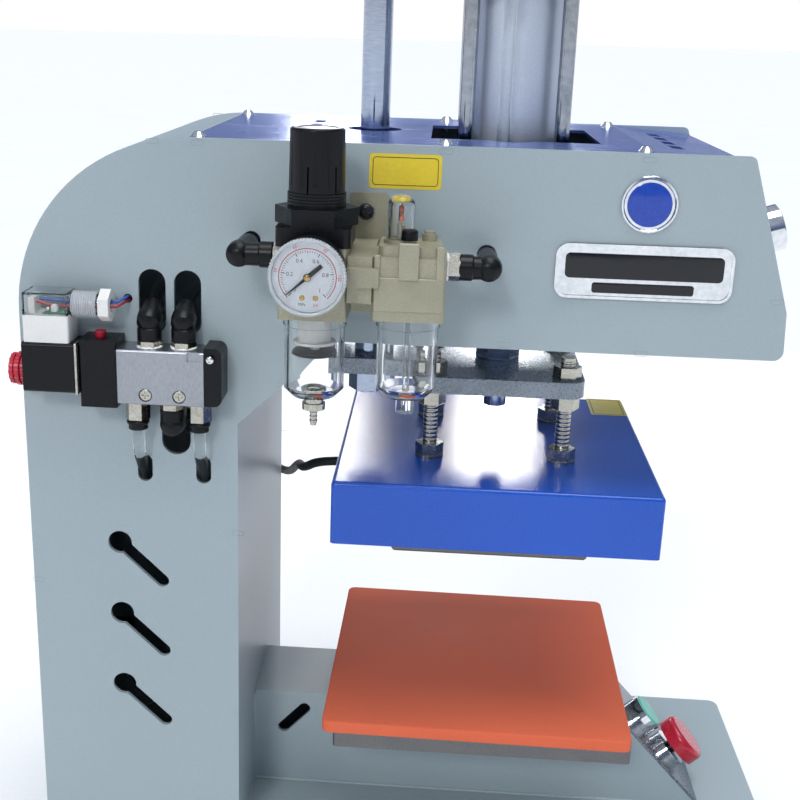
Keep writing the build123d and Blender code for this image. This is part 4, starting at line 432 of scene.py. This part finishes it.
seen = addNode(sky, "ShaderNodeMix", {"data_type": "RGBA", 7: linear("#ffffff")},
               {0: addNode(sky, "ShaderNodeLightPath").outputs["Is Camera Ray"], 6: ramp.outputs["Color"]})
sky.links.new(seen.outputs[2], backdrop.inputs["Color"])
backdrop.inputs["Strength"].default_value = surround["strength"]
bpy.context.scene.view_settings.view_transform = "Standard"

# heater lead: black braided sleeve, out of the far plate, down behind the column and into the hot plate
lead = {"diameter": 7.0, "points": [(-205, 115, 400), (-205, 160, 400), (-198, 166, 332), (-166.5, 159, 289),
                                    (-120.5, 144.5, 258), (-103, 92, 292), (-96, 44.5, 303), (-79.5, 26, 318),
                                    (-54.5, 26, 318)]}


def softLine(name, points, diameter):  # smooth line through the pull of its points, and the tube on it
    curve = bpy.data.curves.new(name, "CURVE")
    curve.dimensions = "3D"
    spline = curve.splines.new("NURBS")
    spline.points.add(len(points) - 1)
    for point, corner in zip(spline.points, points):
        point.co = (*[v * mm for v in corner], 1)
    spline.order_u = 3
    spline.use_endpoint_u = True
    spline.resolution_u = 12
    holder = bpy.data.objects.new(name, curve)
    bpy.context.scene.collection.objects.link(holder)
    bpy.context.view_layer.update()
    path = bpy.data.meshes.new_from_object(holder.evaluated_get(bpy.context.evaluated_depsgraph_get()))
    places = [v.co.copy() for v in path.vertices]
    bpy.data.meshes.remove(path)
    curve.bevel_depth = diameter * mm / 2
    curve.bevel_resolution = 5
    curve.use_fill_caps = True
    return holder, places


leadLine, leadPath = softLine("leadLine", lead["points"], lead["diameter"])
bpy.context.view_layer.update()
leadMesh = bpy.data.meshes.new_from_object(leadLine.evaluated_get(bpy.context.evaluated_depsgraph_get()))
leadMesh.name = "heaterLead"
bpy.data.objects.remove(leadLine)
leadMesh.materials.clear()
leadMesh.materials.append(paint["braidedSleeve"])
leadMesh.polygons.foreach_set("use_smooth", [True] * len(leadMesh.polygons))
heaterLead = bpy.data.objects.new("heaterLead", leadMesh)
bpy.context.scene.collection.objects.link(heaterLead)
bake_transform(heaterLead)
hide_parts("heater_lead")

# coil wires: red and blue, side by side from the terminals through the clear hood into the frame
wires = {"diameter": 1.8, "axisY": -124.0, "start": (-244.6, 470.4), "left": -234.0, "hoodRight": -223.0,
         "nippleZ": 468.6, "nutEnd": -196.0, "holeX": -191.0, "holeZ": 470.5}
for name, side, finish in (("wireLower", -1, "wireRed"), ("wireUpper", 1, "wireBlue")):
    w = wires
    route = [(w["start"][0], w["axisY"] + 3.4 * side, w["start"][1]),
             (w["left"], w["axisY"] + 2.8 * side, w["nippleZ"] + 1.4 * side),
             (w["hoodRight"], w["axisY"] + 1.4 * side, w["nippleZ"] + 1.2 * side),
             (w["nutEnd"], w["axisY"] + 1.5 * side, w["nippleZ"] + 1.3 * side),
             (w["holeX"] - 1.2, w["axisY"] + 4, w["holeZ"] + 1.4 * side),
             (w["holeX"], -112.0, w["holeZ"] + 1.3 * side),
             (w["holeX"] + 1.0, -101.0, w["holeZ"] + 1.2 * side)]
    wire, wirePath = softLine(name, route, w["diameter"])
    wire.data.materials.append(paint[finish])
    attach(wire, "frame")
    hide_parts("coil_wires")
print("lead and wires run")

# silicone foam pad on the platen: cut edges, a little rounded by use, hardly crowned
pad = {"size": 217.0, "at": (47.0, -0.8, 163.0), "thick": 8.6, "corner": 6.0, "soften": 1.1, "turn": -0.7}
padShape = slab(pad["size"], pad["size"], pad["thick"], pad["corner"], pad["soften"])
foamPad = keep(padShape, "foamPad", "siliconeFoamPaintedLight", "frame",
               place(pad["at"]) @ Matrix.Rotation(radians(pad["turn"]), 4, "Z"))
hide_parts("silicone_pad")

# pressure gauge: black can, white dial with its scales, brass screws, clear knurled rim and lens
gauge = {"at": (-67.0, -200.0, 507.0), "can": 20.65, "rim": 21.9, "back": -18.0, "dial": 19.7, "scale": 14.9,
         "sweep": 272.0, "zero": 226.0, "knurls": 72, "topPsi": 145.0}
gaugeSpot = place(gauge["at"], (0, -1, 0), (1, 0, 0))
can = turned([(0, gauge["back"]), (gauge["can"] - 1.6, gauge["back"]), (gauge["can"], gauge["back"] + 1.6),
              (gauge["can"], -1.2), (gauge["rim"] - 0.6, -1.0), (gauge["rim"] - 0.3, -0.5), (gauge["rim"] - 0.6, 0),
              (0, 0)], 72)
gaugeCan = keep(can, "gaugeCan", "blackNylon", "frame", gaugeSpot)
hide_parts("gauge_case")
dialCard = turned([(0, 0.02), (0, 0.3), (gauge["dial"], 0.3), (gauge["dial"], 0.02), (0, 0.02)], 72)
keep(dialCard, "gaugeDial", "dialWhite", "frame", gaugeSpot)


def onDial(radius, degreesRound, height=0.3):  # matrix at a polar place on the dial, local Y outwards
    angle = radians(degreesRound)
    there = Matrix.Translation((radius * cos(angle), radius * sin(angle), height))
    return there @ Matrix.Rotation(angle - pi / 2, 4, "Z")


blackMarks, redMarks = bmesh.new(), bmesh.new()
for step in range(51):
    turnTo = gauge["zero"] - gauge["sweep"] * step / 50
    wide, long = (0.45, 2.2) if step % 10 == 0 else (0.28, 1.6) if step % 5 == 0 else (0.28, 1.1)
    slab(wide, long, 0.05, shape=blackMarks, spot=onDial(gauge["scale"] - long / 2, turnTo))
for step in range(6):
    turnTo = gauge["zero"] - gauge["sweep"] * step / 5
    upright = Matrix.Translation(onDial(gauge["scale"] - 4.9, turnTo).to_translation())
    wording(blackMarks, ("0", "0.2", "0.4", "0.6", "0.8", "1")[step], 3.1, upright)
for psi in range(0, 146, 10):
    turnTo = gauge["zero"] - gauge["sweep"] * psi / gauge["topPsi"]
    long = 1.0 if psi % 30 == 0 else 0.7
    slab(0.28, long, 0.05, shape=redMarks, spot=onDial(gauge["scale"] + 0.8 + long / 2, turnTo))
    if psi and psi % 30 == 0:
        wording(redMarks, str(psi), 2.6, onDial(gauge["scale"] + 2.9, turnTo))
arc = bmesh.new()
arcEnd = gauge["zero"] - gauge["sweep"]
band = [arc.verts.new(onDial(gauge["scale"] + 0.8 + wide, arcEnd, 0.3 + high).to_translation())
        for wide, high in ((0, 0), (0.5, 0), (0.5, 0.05), (0, 0.05))]
arc.faces.new(band)
bmesh.ops.spin(arc, geom=arc.verts[:] + arc.edges[:] + arc.faces[:], cent=(0, 0, 0), axis=(0, 0, 1),
               angle=radians(gauge["sweep"]), steps=90)
joined(redMarks, arc)
wording(blackMarks, "MPa", 2.4, Matrix.Translation((-2.9, -15.4, 0.33)))
wording(redMarks, "psi", 2.4, Matrix.Translation((4.8, -15.4, 0.33)))
keep(blackMarks, "gaugeFigures", "inkBlack", "frame", gaugeSpot)
keep(redMarks, "gaugeRedScale", "inkRed", "frame", gaugeSpot)

dialScrews = bmesh.new()
for across in (-2.8, 4.6):
    turned([(0, 0.3), (1.6, 0.3), (1.55, 0.6), (0.9, 0.85), (0, 0.9)], 24, dialScrews,
           Matrix.Translation((across, -11.6, 0)))
keep(dialScrews, "dialScrews", "turnedBrass", "frame", gaugeSpot)
needleHub = turned([(0, 2.05), (1.9, 2.05), (1.9, 2.3), (1.3, 2.75), (0, 2.85)], 32)
keep(needleHub, "needleHub", "turnedBrass", "gauge_needle", gaugeSpot)
rim = turned([(19.8, 0.1), (21.9, 0.1), (22.1, 0.6), (22.1, 2.9), (21.6, 3.8), (20.6, 4.0), (19.9, 3.5), (19.8, 0.1)],
             gauge["knurls"] * 2)
for v in rim.verts:
    away = v.co.xy.length
    if away > 21.3 and round(Vector((1, 0)).angle_signed(v.co.xy) / pi * gauge["knurls"]) % 2:
        v.co.xy *= 1 - 0.45 / away
keep(rim, "gaugeRim", "frostedRim", "frame", gaugeSpot, 20)
keep(turned([(0, 3.75), (12, 3.65), (19.8, 3.3), (19.8, 2.9), (12, 3.2), (0, 3.3)], 72), "gaugeLens",
     "clearPolycarbonate", "frame", gaugeSpot)
print("gauge made")

# plates on the near side: yellow film label with its black line, round badge and bare name plate
labels = {"film": ((-18.0, -111.0, 556.1), 44.0, 21.0), "badge": ((129.6, -111.0, 541.6), 17.5),
          "plate": ((130.0, -111.0, 500.0), 108.0, 34.0)}


def nearSide(at):
    return place(at, (0, -1, 0), (1, 0, 0))


at, width, height = labels["film"]
filmLabel = keep(slab(width, height, 0.25, 2.5), "filmLabel", "labelFilm", "frame", nearSide(at))
keep(roundFrame(width - 4, height - 4, 2.2, 0.45, 0.05), "labelLine", "inkBlack", "frame",
     nearSide(at) @ Matrix.Translation((0, 0, 0.25)))
at, radius = labels["badge"]
badgeRing = turned([(0, 0), (radius, 0), (radius, 1.0), (radius - 0.7, 1.9), (radius - 1.7, 2.0), (radius - 2.3, 1.5),
                    (radius - 2.5, 1.1), (0, 1.1)], 72)
badge = keep(badgeRing, "badgeRing", "chromePlate", "frame", nearSide(at))
keep(turned([(0, 1.0), (radius - 4.0, 1.0), (radius - 4.1, 1.6), (radius - 4.6, 1.8), (0, 1.85)], 64), "badgeEnamel",
     "blueEnamel", "frame", nearSide(at))
at, width, height = labels["plate"]
plateShape = slab(width, height, 1.2, 8.0)
roundFrame(width, height, 8.0, 1.8, 1.9, plateShape)
namePlate = keep(plateShape, "namePlate", "chromePlate", "frame", nearSide(at))
keep(slab(width - 12, 15.5, 0.6, 3.0, 0.2), "plateInlay", "smokedWindow", "frame",
     nearSide(at) @ Matrix.Translation((0, 3.4, 1.2)))
keep(slab(62.0, 6.4, 0.6, 1.6, 0.2), "plateInlayLow", "smokedWindow", "frame",
     nearSide(at) @ Matrix.Translation((0, -10.0, 1.2)))
for piece in (filmLabel, badge, namePlate):
    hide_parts("name_plates")
coverLabel = {"at": (144.0, 87.5, 352.3), "size": (28.0, 43.0)}
keep(slab(*coverLabel["size"], 0.15, 1.0), "coverLabel", "labelFilm", "press_head", place(coverLabel["at"]))
keep(roundFrame(24.0, 39.0, 0.8, 0.7, 0.05), "coverLabelLine", "inkBlack", "press_head",
     place(coverLabel["at"]) @ Matrix.Translation((0, 0, 0.15)))

# joint lines where the inner sheets' tabs come through the side plates and were ground and painted over, drawn as
# thin outlines in painted shade for the shadow in each gap
tabs = {"size": (8.0, 3.4), "line": 0.25,
        "at": [(-173, 569), (-145, 569), (6, 569), (127, 568), (212.5, 485), (48, 451), (133, 449), (-92, 418),
               (-121, 313), (-259, 271)]}
for name, near, face in (("tabLinesNear", True, -111.02), ("tabLinesFar", False, 111.02)):
    lines = bmesh.new()
    for tabX, tabZ in tabs["at"]:
        tabSpot = nearSide((tabX, face, tabZ)) if near else place((tabX, face, tabZ), (0, 1, 0), (1, 0, 0))
        roundFrame(*tabs["size"], 1.3, tabs["line"], 0.06, lines, tabSpot)
    keep(lines, name, "seamShadow", "frame")
print("labels and joint lines made")

# regulator knob: satin foil disc let into its top
foil = {"axis": (-67.0, -156.0, 0.0), "radius": 11.5, "low": 583.6, "high": 584.15}
foilDisc = turned([(0, foil["low"]), (foil["radius"], foil["low"]), (foil["radius"], 583.9), (10.9, 584.1),
                   (0, foil["high"])], 48)
keep(foilDisc, "knobDisc", "anodisedAluminium", "regulator_knob", place(foil["axis"]))

# inside the clear hood: green board with its screws and lamp
hood = {"at": (-233.0, -124.0, 463.2)}
board = slab(15.0, 13.0, 1.2, 0.8)
keep(board, "hoodBoard", "circuitBoard", "frame",
     place(hood["at"]) @ Matrix.Rotation(radians(-8), 4, "Y"))
terminals = bmesh.new()
for dx, dy in ((-4.5, -3.0), (-4.5, 3.0), (4.0, 0.0)):
    turned([(0, 1.0), (1.7, 1.0), (1.7, 2.6), (1.2, 3.0), (0, 3.0)], 20, terminals, Matrix.Translation((dx, dy, 0.4)))
keep(terminals, "hoodTerminals", "zincPlate", "frame", place(hood["at"]))
keep(turned([(0, 1.2), (2.4, 1.2), (2.4, 4.2), (1.7, 5.4), (0, 6.0)], 24), "hoodLamp", "whiteNylon", "frame",
     place((hood["at"][0] + 0.2, hood["at"][1] - 4.5, hood["at"][2])))

# steel yoke round the coil's end
yoke = {"at": (-219.4, -124.1, 429.4), "size": (25.6, 33.2, 1.4)}
keep(slab(*yoke["size"], 0.5, 0.3), "coilYoke", "zincPlate", "frame", place(yoke["at"], (1, 0, 0), (0, 1, 0)))

# seal tape squeezed out round the valve's upper fittings and the lubricator's outlet
tape = {"spots": [((-174.9, -122.0, 442.5), (0, 0, 1)), ((-153.3, -122.0, 442.5), (0, 0, 1)),
                  ((9.2, -156.0, 507.5), (1, 0, 0))]}
for index, (at, normal) in enumerate(tape["spots"]):
    ring = turned([(5.5, 0.02), (7.9, 0.05), (8.3, 0.6), (7.6, 1.2), (5.5, 1.3)], 40)
    for v in ring.verts:
        wave = sin(9 * v.co.x + index) * sin(7 * v.co.y + 2 * index)
        v.co.xy *= 1 + 0.045 * wave
        v.co.z *= 1 + 0.35 * wave
    keep(ring, "sealTape%d" % index, "sealTape", "frame", place(at, normal))

# push-in elbows: a wide collar next to each hexagon, a domed knuckle at the corner, and flared release rings
elbows = {"collar": (7.7, 8.5), "knuckle": 7.9,
          "bases": [((-174.9, -122.0, 447.2), (0, 0, 1)), ((-153.3, -122.0, 447.2), (0, 0, 1)),
                    ((-161.5, -122.0, 402.3), (0, 0, -1)), ((-91.8, -156.0, 510.5), (-1, 0, 0)),
                    ((16.5, -156.0, 507.5), (1, 0, 0))],
          "corners": [((-174.9, -122.0, 460.0), (0, 9, 5)), ((-153.3, -122.0, 460.0), (0, 9, 5)),
                      ((-161.5, -122.0, 391.5), (0, 10, -4)), ((-112.2, -156.0, 510.5), (0, 1, 0)),
                      ((33.8, -156.0, 507.5), (0, 1, 0))],
          "rings": [(-183.8, 394.0), (-144.0, 394.0)]}
fittings = bmesh.new()
radius, reach = elbows["collar"]
for at, run in elbows["bases"]:
    turned([(6.0, 0), (radius - 0.6, 0), (radius, 0.6), (radius, reach - 1.0), (radius - 0.8, reach), (6.0, reach),
            (6.0, 0)], 40, fittings, place(at, run))
radius = elbows["knuckle"]
for at, run in elbows["corners"]:
    turned([(0, -radius), (2.6, -radius + 0.2), (4.6, -radius + 1.2), (6.2, -radius + 2.8), (7.2, -4.2),
            (radius - 0.2, -1.4), (radius, 1.5), (radius - 0.2, 4.2), (6.6, 5.4), (0, 5.4)], 40, fittings,
           place(at, run))
for ringX, ringZ in elbows["rings"]:
    turned([(4.4, 0), (6.6, 0), (7.3, 0.7), (7.3, 2.0), (6.4, 2.9), (4.4, 2.9), (4.4, 0)], 40, fittings,
           place((ringX, -122.0, ringZ), (0, 0, -1)))
keep(fittings, "elbowFittings", "blackNylon", "frame")

# screws: black button heads on the bracket, a plated one on its clamp, the valve's end cap and the bonnet
screws = {"black": [((-41.0, -114.4, 531.6), 5.0), ((-41.4, -114.4, 481.4), 5.0)],
          "plated": [((-39.9, -170.6, 506.6), 3.9), ((-134.4, -133.6, 438.6), 2.6)],
          "bonnet": [(-84.2, -176.0, 524.5), (-50.6, -176.0, 524.5)]}


def buttonHead(shape, at, radius, high):  # domed head with a hexagon socket
    head = turned([(0.5 * radius, 0.62 * high), (0.5 * radius, high), (0.74 * radius, 0.93 * high),
                   (0.92 * radius, 0.7 * high), (radius, 0.35 * high), (radius, 0)], 36)
    floorRing = [v for v in head.verts if v.co.z < 0.7 * high and v.co.xy.length < 0.6 * radius]
    bmesh.ops.contextual_create(head, geom=floorRing)
    joined(shape, head, nearSide(at))


blackHeads, platedHeads = bmesh.new(), bmesh.new()
for at, radius in screws["black"]:
    buttonHead(blackHeads, at, radius, 3.4)
for at, radius in screws["plated"]:
    buttonHead(platedHeads, at, radius, 1.9)
for at in screws["bonnet"]:
    buttonHead(blackHeads, at, 2.2, 1.4)
keep(blackHeads, "blackScrews", "blackScrew", "frame")
keep(platedHeads, "platedScrews", "chromePlate", "frame")

# raised bands of the lubricator's casting, and the black plug on its fill hole
casting = {"face": -176.0, "lower": ((-11.8, 494.0), (39.4, 19.6), 1.3),
           "pillar": ((-12.2, 513.4), (11.6, 21.0), 3.2), "edge": ((5.6, 512.5), (4.4, 19.6), 1.3),
           "left": ((-30.0, 510.0), (3.4, 13.0), 1.3)}
bands = bmesh.new()
for name in ("lower", "pillar", "edge", "left"):
    (bandX, bandZ), (wide, high), proud = casting[name]
    slab(wide, high, proud, 0.8, 0.5, bands, nearSide((bandX, casting["face"] + 0.02, bandZ)))
keep(bands, "castingBands", "champagneCasting", "frame")
plug = {"at": (-12.4, -166.0, 524.0), "radius": 4.7}
plugShape = turned([(0, 6.0), (3.4, 6.0), (4.4, 5.4), (plug["radius"], 4.6), (plug["radius"], 0), (0, 0)], 40)
keep(plugShape, "fillPlug", "blackNylon", "frame", place(plug["at"]))

# moulded thread on the hood's nipple, clear, with its bright ridges
nipple = {"at": (-223.0, -124.0, 468.6), "radius": 8.0, "start": 1.0, "pitch": 1.45, "ridges": 11}
ridgeLine = [(nipple["radius"] + 0.05, nipple["start"])]
for ridge in range(nipple["ridges"]):
    low = nipple["start"] + ridge * nipple["pitch"]
    ridgeLine += [(nipple["radius"] + 0.05, low + 0.1), (nipple["radius"] + 0.75, low + 0.5),
                  (nipple["radius"] + 0.75, low + 0.8), (nipple["radius"] + 0.05, low + 1.2)]
keep(turned(ridgeLine, 48), "nippleThread", "frostedRim", "frame",
     place(nipple["at"], (1, 0, 0)), 20)

# filter bowl: black baffle under the white element and the seat ring in the bottom
filterBowl = {"x": -67.0, "y": -156.0, "seat": 429.4, "baffleDrop": 3.0}
baffle = turned([(0, 0), (12.5, 0), (13.6, 0.8), (13.2, 2.4), (9, 2.9), (0, 2.9)], 40)
elementLow = min(v.co.z for v in nodes["filter_element"].data.vertices) / mm
keep(baffle, "bowlBaffle", "blackNylon", "frame",
     place((filterBowl["x"], filterBowl["y"], elementLow - filterBowl["baffleDrop"])))
seatRing = turned([(5.0, 0), (7.6, 0), (7.6, 1.6), (6.6, 2.2), (5.0, 2.2), (5.0, 0)], 32)
keep(seatRing, "bowlSeat", "zincPlate", "frame",
     place((filterBowl["x"], filterBowl["y"], filterBowl["seat"])))

# lubricator: pick-up tube in the bowl and the copper drip tube under the dome
oil = {"pickUpAt": (-11.8, -156.0, 0.0), "bore": 1.4, "wall": 2.2, "low": 432.0, "high": 477.5,
       "dripAt": (-18.0, -158.0, 0.0), "dripLow": 533.4}
pickUp = turned([(oil["bore"], oil["low"]), (oil["wall"], oil["low"]), (oil["wall"], oil["high"]),
                 (oil["bore"], oil["high"]), (oil["bore"], oil["low"])], 20)
keep(pickUp, "oilPickUp", "airTube", "frame", place(oil["pickUpAt"]))
drip = turned([(0, oil["dripLow"]), (1.6, oil["dripLow"]), (1.6, 541.0), (1.0, 542.2), (0, 542.4)], 20)
keep(drip, "dripTube", "copperTube", "frame", place(oil["dripAt"]))

# controller: smoked window with its figures and four round keys
panel = place((199.5, 0.0, 523.65), (0.95388, 0, 0.30031), (0, 1, 0)) @ Matrix.Translation((0, 0, 4.8))
keep(slab(56.0, 24.0, 0.7, 1.2, 0.2), "controllerWindow", "smokedWindow", "frame",
     panel @ Matrix.Translation((-10.0, 3.0, 0)))
keys = bmesh.new()
for row in range(4):
    turned([(0, 0), (3.0, 0), (2.9, 1.0), (2.2, 1.5), (0, 1.5)], 28, keys,
           Matrix.Translation((26.0 + 9.5 * (row % 2), 7.0 - 9.5 * (row // 2), 0)))
keep(keys, "controllerKeys", "whiteNylon", "frame", panel)
figures = bmesh.new()
wording(figures, "180", 10.0, Matrix.Translation((-20.0, 3.0, 0.72)))
wording(figures, "15", 10.0, Matrix.Translation((6.0, 3.0, 0.72)))
keep(figures, "controllerFigures", "inkRed", "frame", panel)


def weldBead(shape, start, end, radius):  # stacked-coin bead, painted over
    start, end = Vector(start), Vector(end)
    run = end - start
    spot = place(start, run)
    bead = bmesh.new()
    ring = bmesh.ops.create_circle(bead, segments=8, radius=radius)["verts"]
    edges = list({e for v in ring for e in v.link_edges})
    steps = int(run.length / 1.1)
    for step in range(steps):
        grown = bmesh.ops.extrude_edge_only(bead, edges=edges)["geom"]
        ring = [g for g in grown if isinstance(g, bmesh.types.BMVert)]
        edges = [g for g in grown if isinstance(g, bmesh.types.BMEdge)]
        bmesh.ops.translate(bead, vec=(0, 0, run.length / steps), verts=ring)
        middle = Vector((0, 0, (step + 1) * run.length / steps))
        wanted = radius * (1 + 0.16 * sin(step * 2.1) + 0.08 * sin(step * 0.7))
        for v in ring:
            out = v.co - middle
            v.co = middle + out * (wanted / out.length)
    return joined(shape, bead, spot)


beads = bmesh.new()
for start, end in (((-120, -35.5, 72.6), (225, -35.5, 72.6)), ((-120, 35.5, 72.6), (225, 35.5, 72.6)),
                   ((-121, -109, 72.6), (-121, -37, 72.6)), ((-121, 37, 72.6), (-121, 109, 72.6)),
                   ((-121.2, -35.5, 74), (-121.2, -35.5, 149)), ((-121.2, 35.5, 74), (-121.2, 35.5, 149))):
    weldBead(beads, start, end, 1.3)
keep(beads, "weldBeads", "powderCoatGrey", "frame", None, 60)
print("fittings and beads made")

floorMesh = bmesh.new()
bmesh.ops.create_grid(floorMesh, x_segments=2, y_segments=2, size=60.0)
floorData = bpy.data.meshes.new("floor")
floorMesh.to_mesh(floorData)
floorMesh.free()
floor = bpy.data.objects.new("floor", floorData)
bpy.context.scene.collection.objects.link(floor)
# matt painted board
floorLook = {"colour": "#eceded", "accent": "#f1f2f2", "roughness": (0.7, 0.8), "grain": 4.0, "drift": 300.0}
floorData.materials.append(makeSurface("paintedBoard", floorLook))
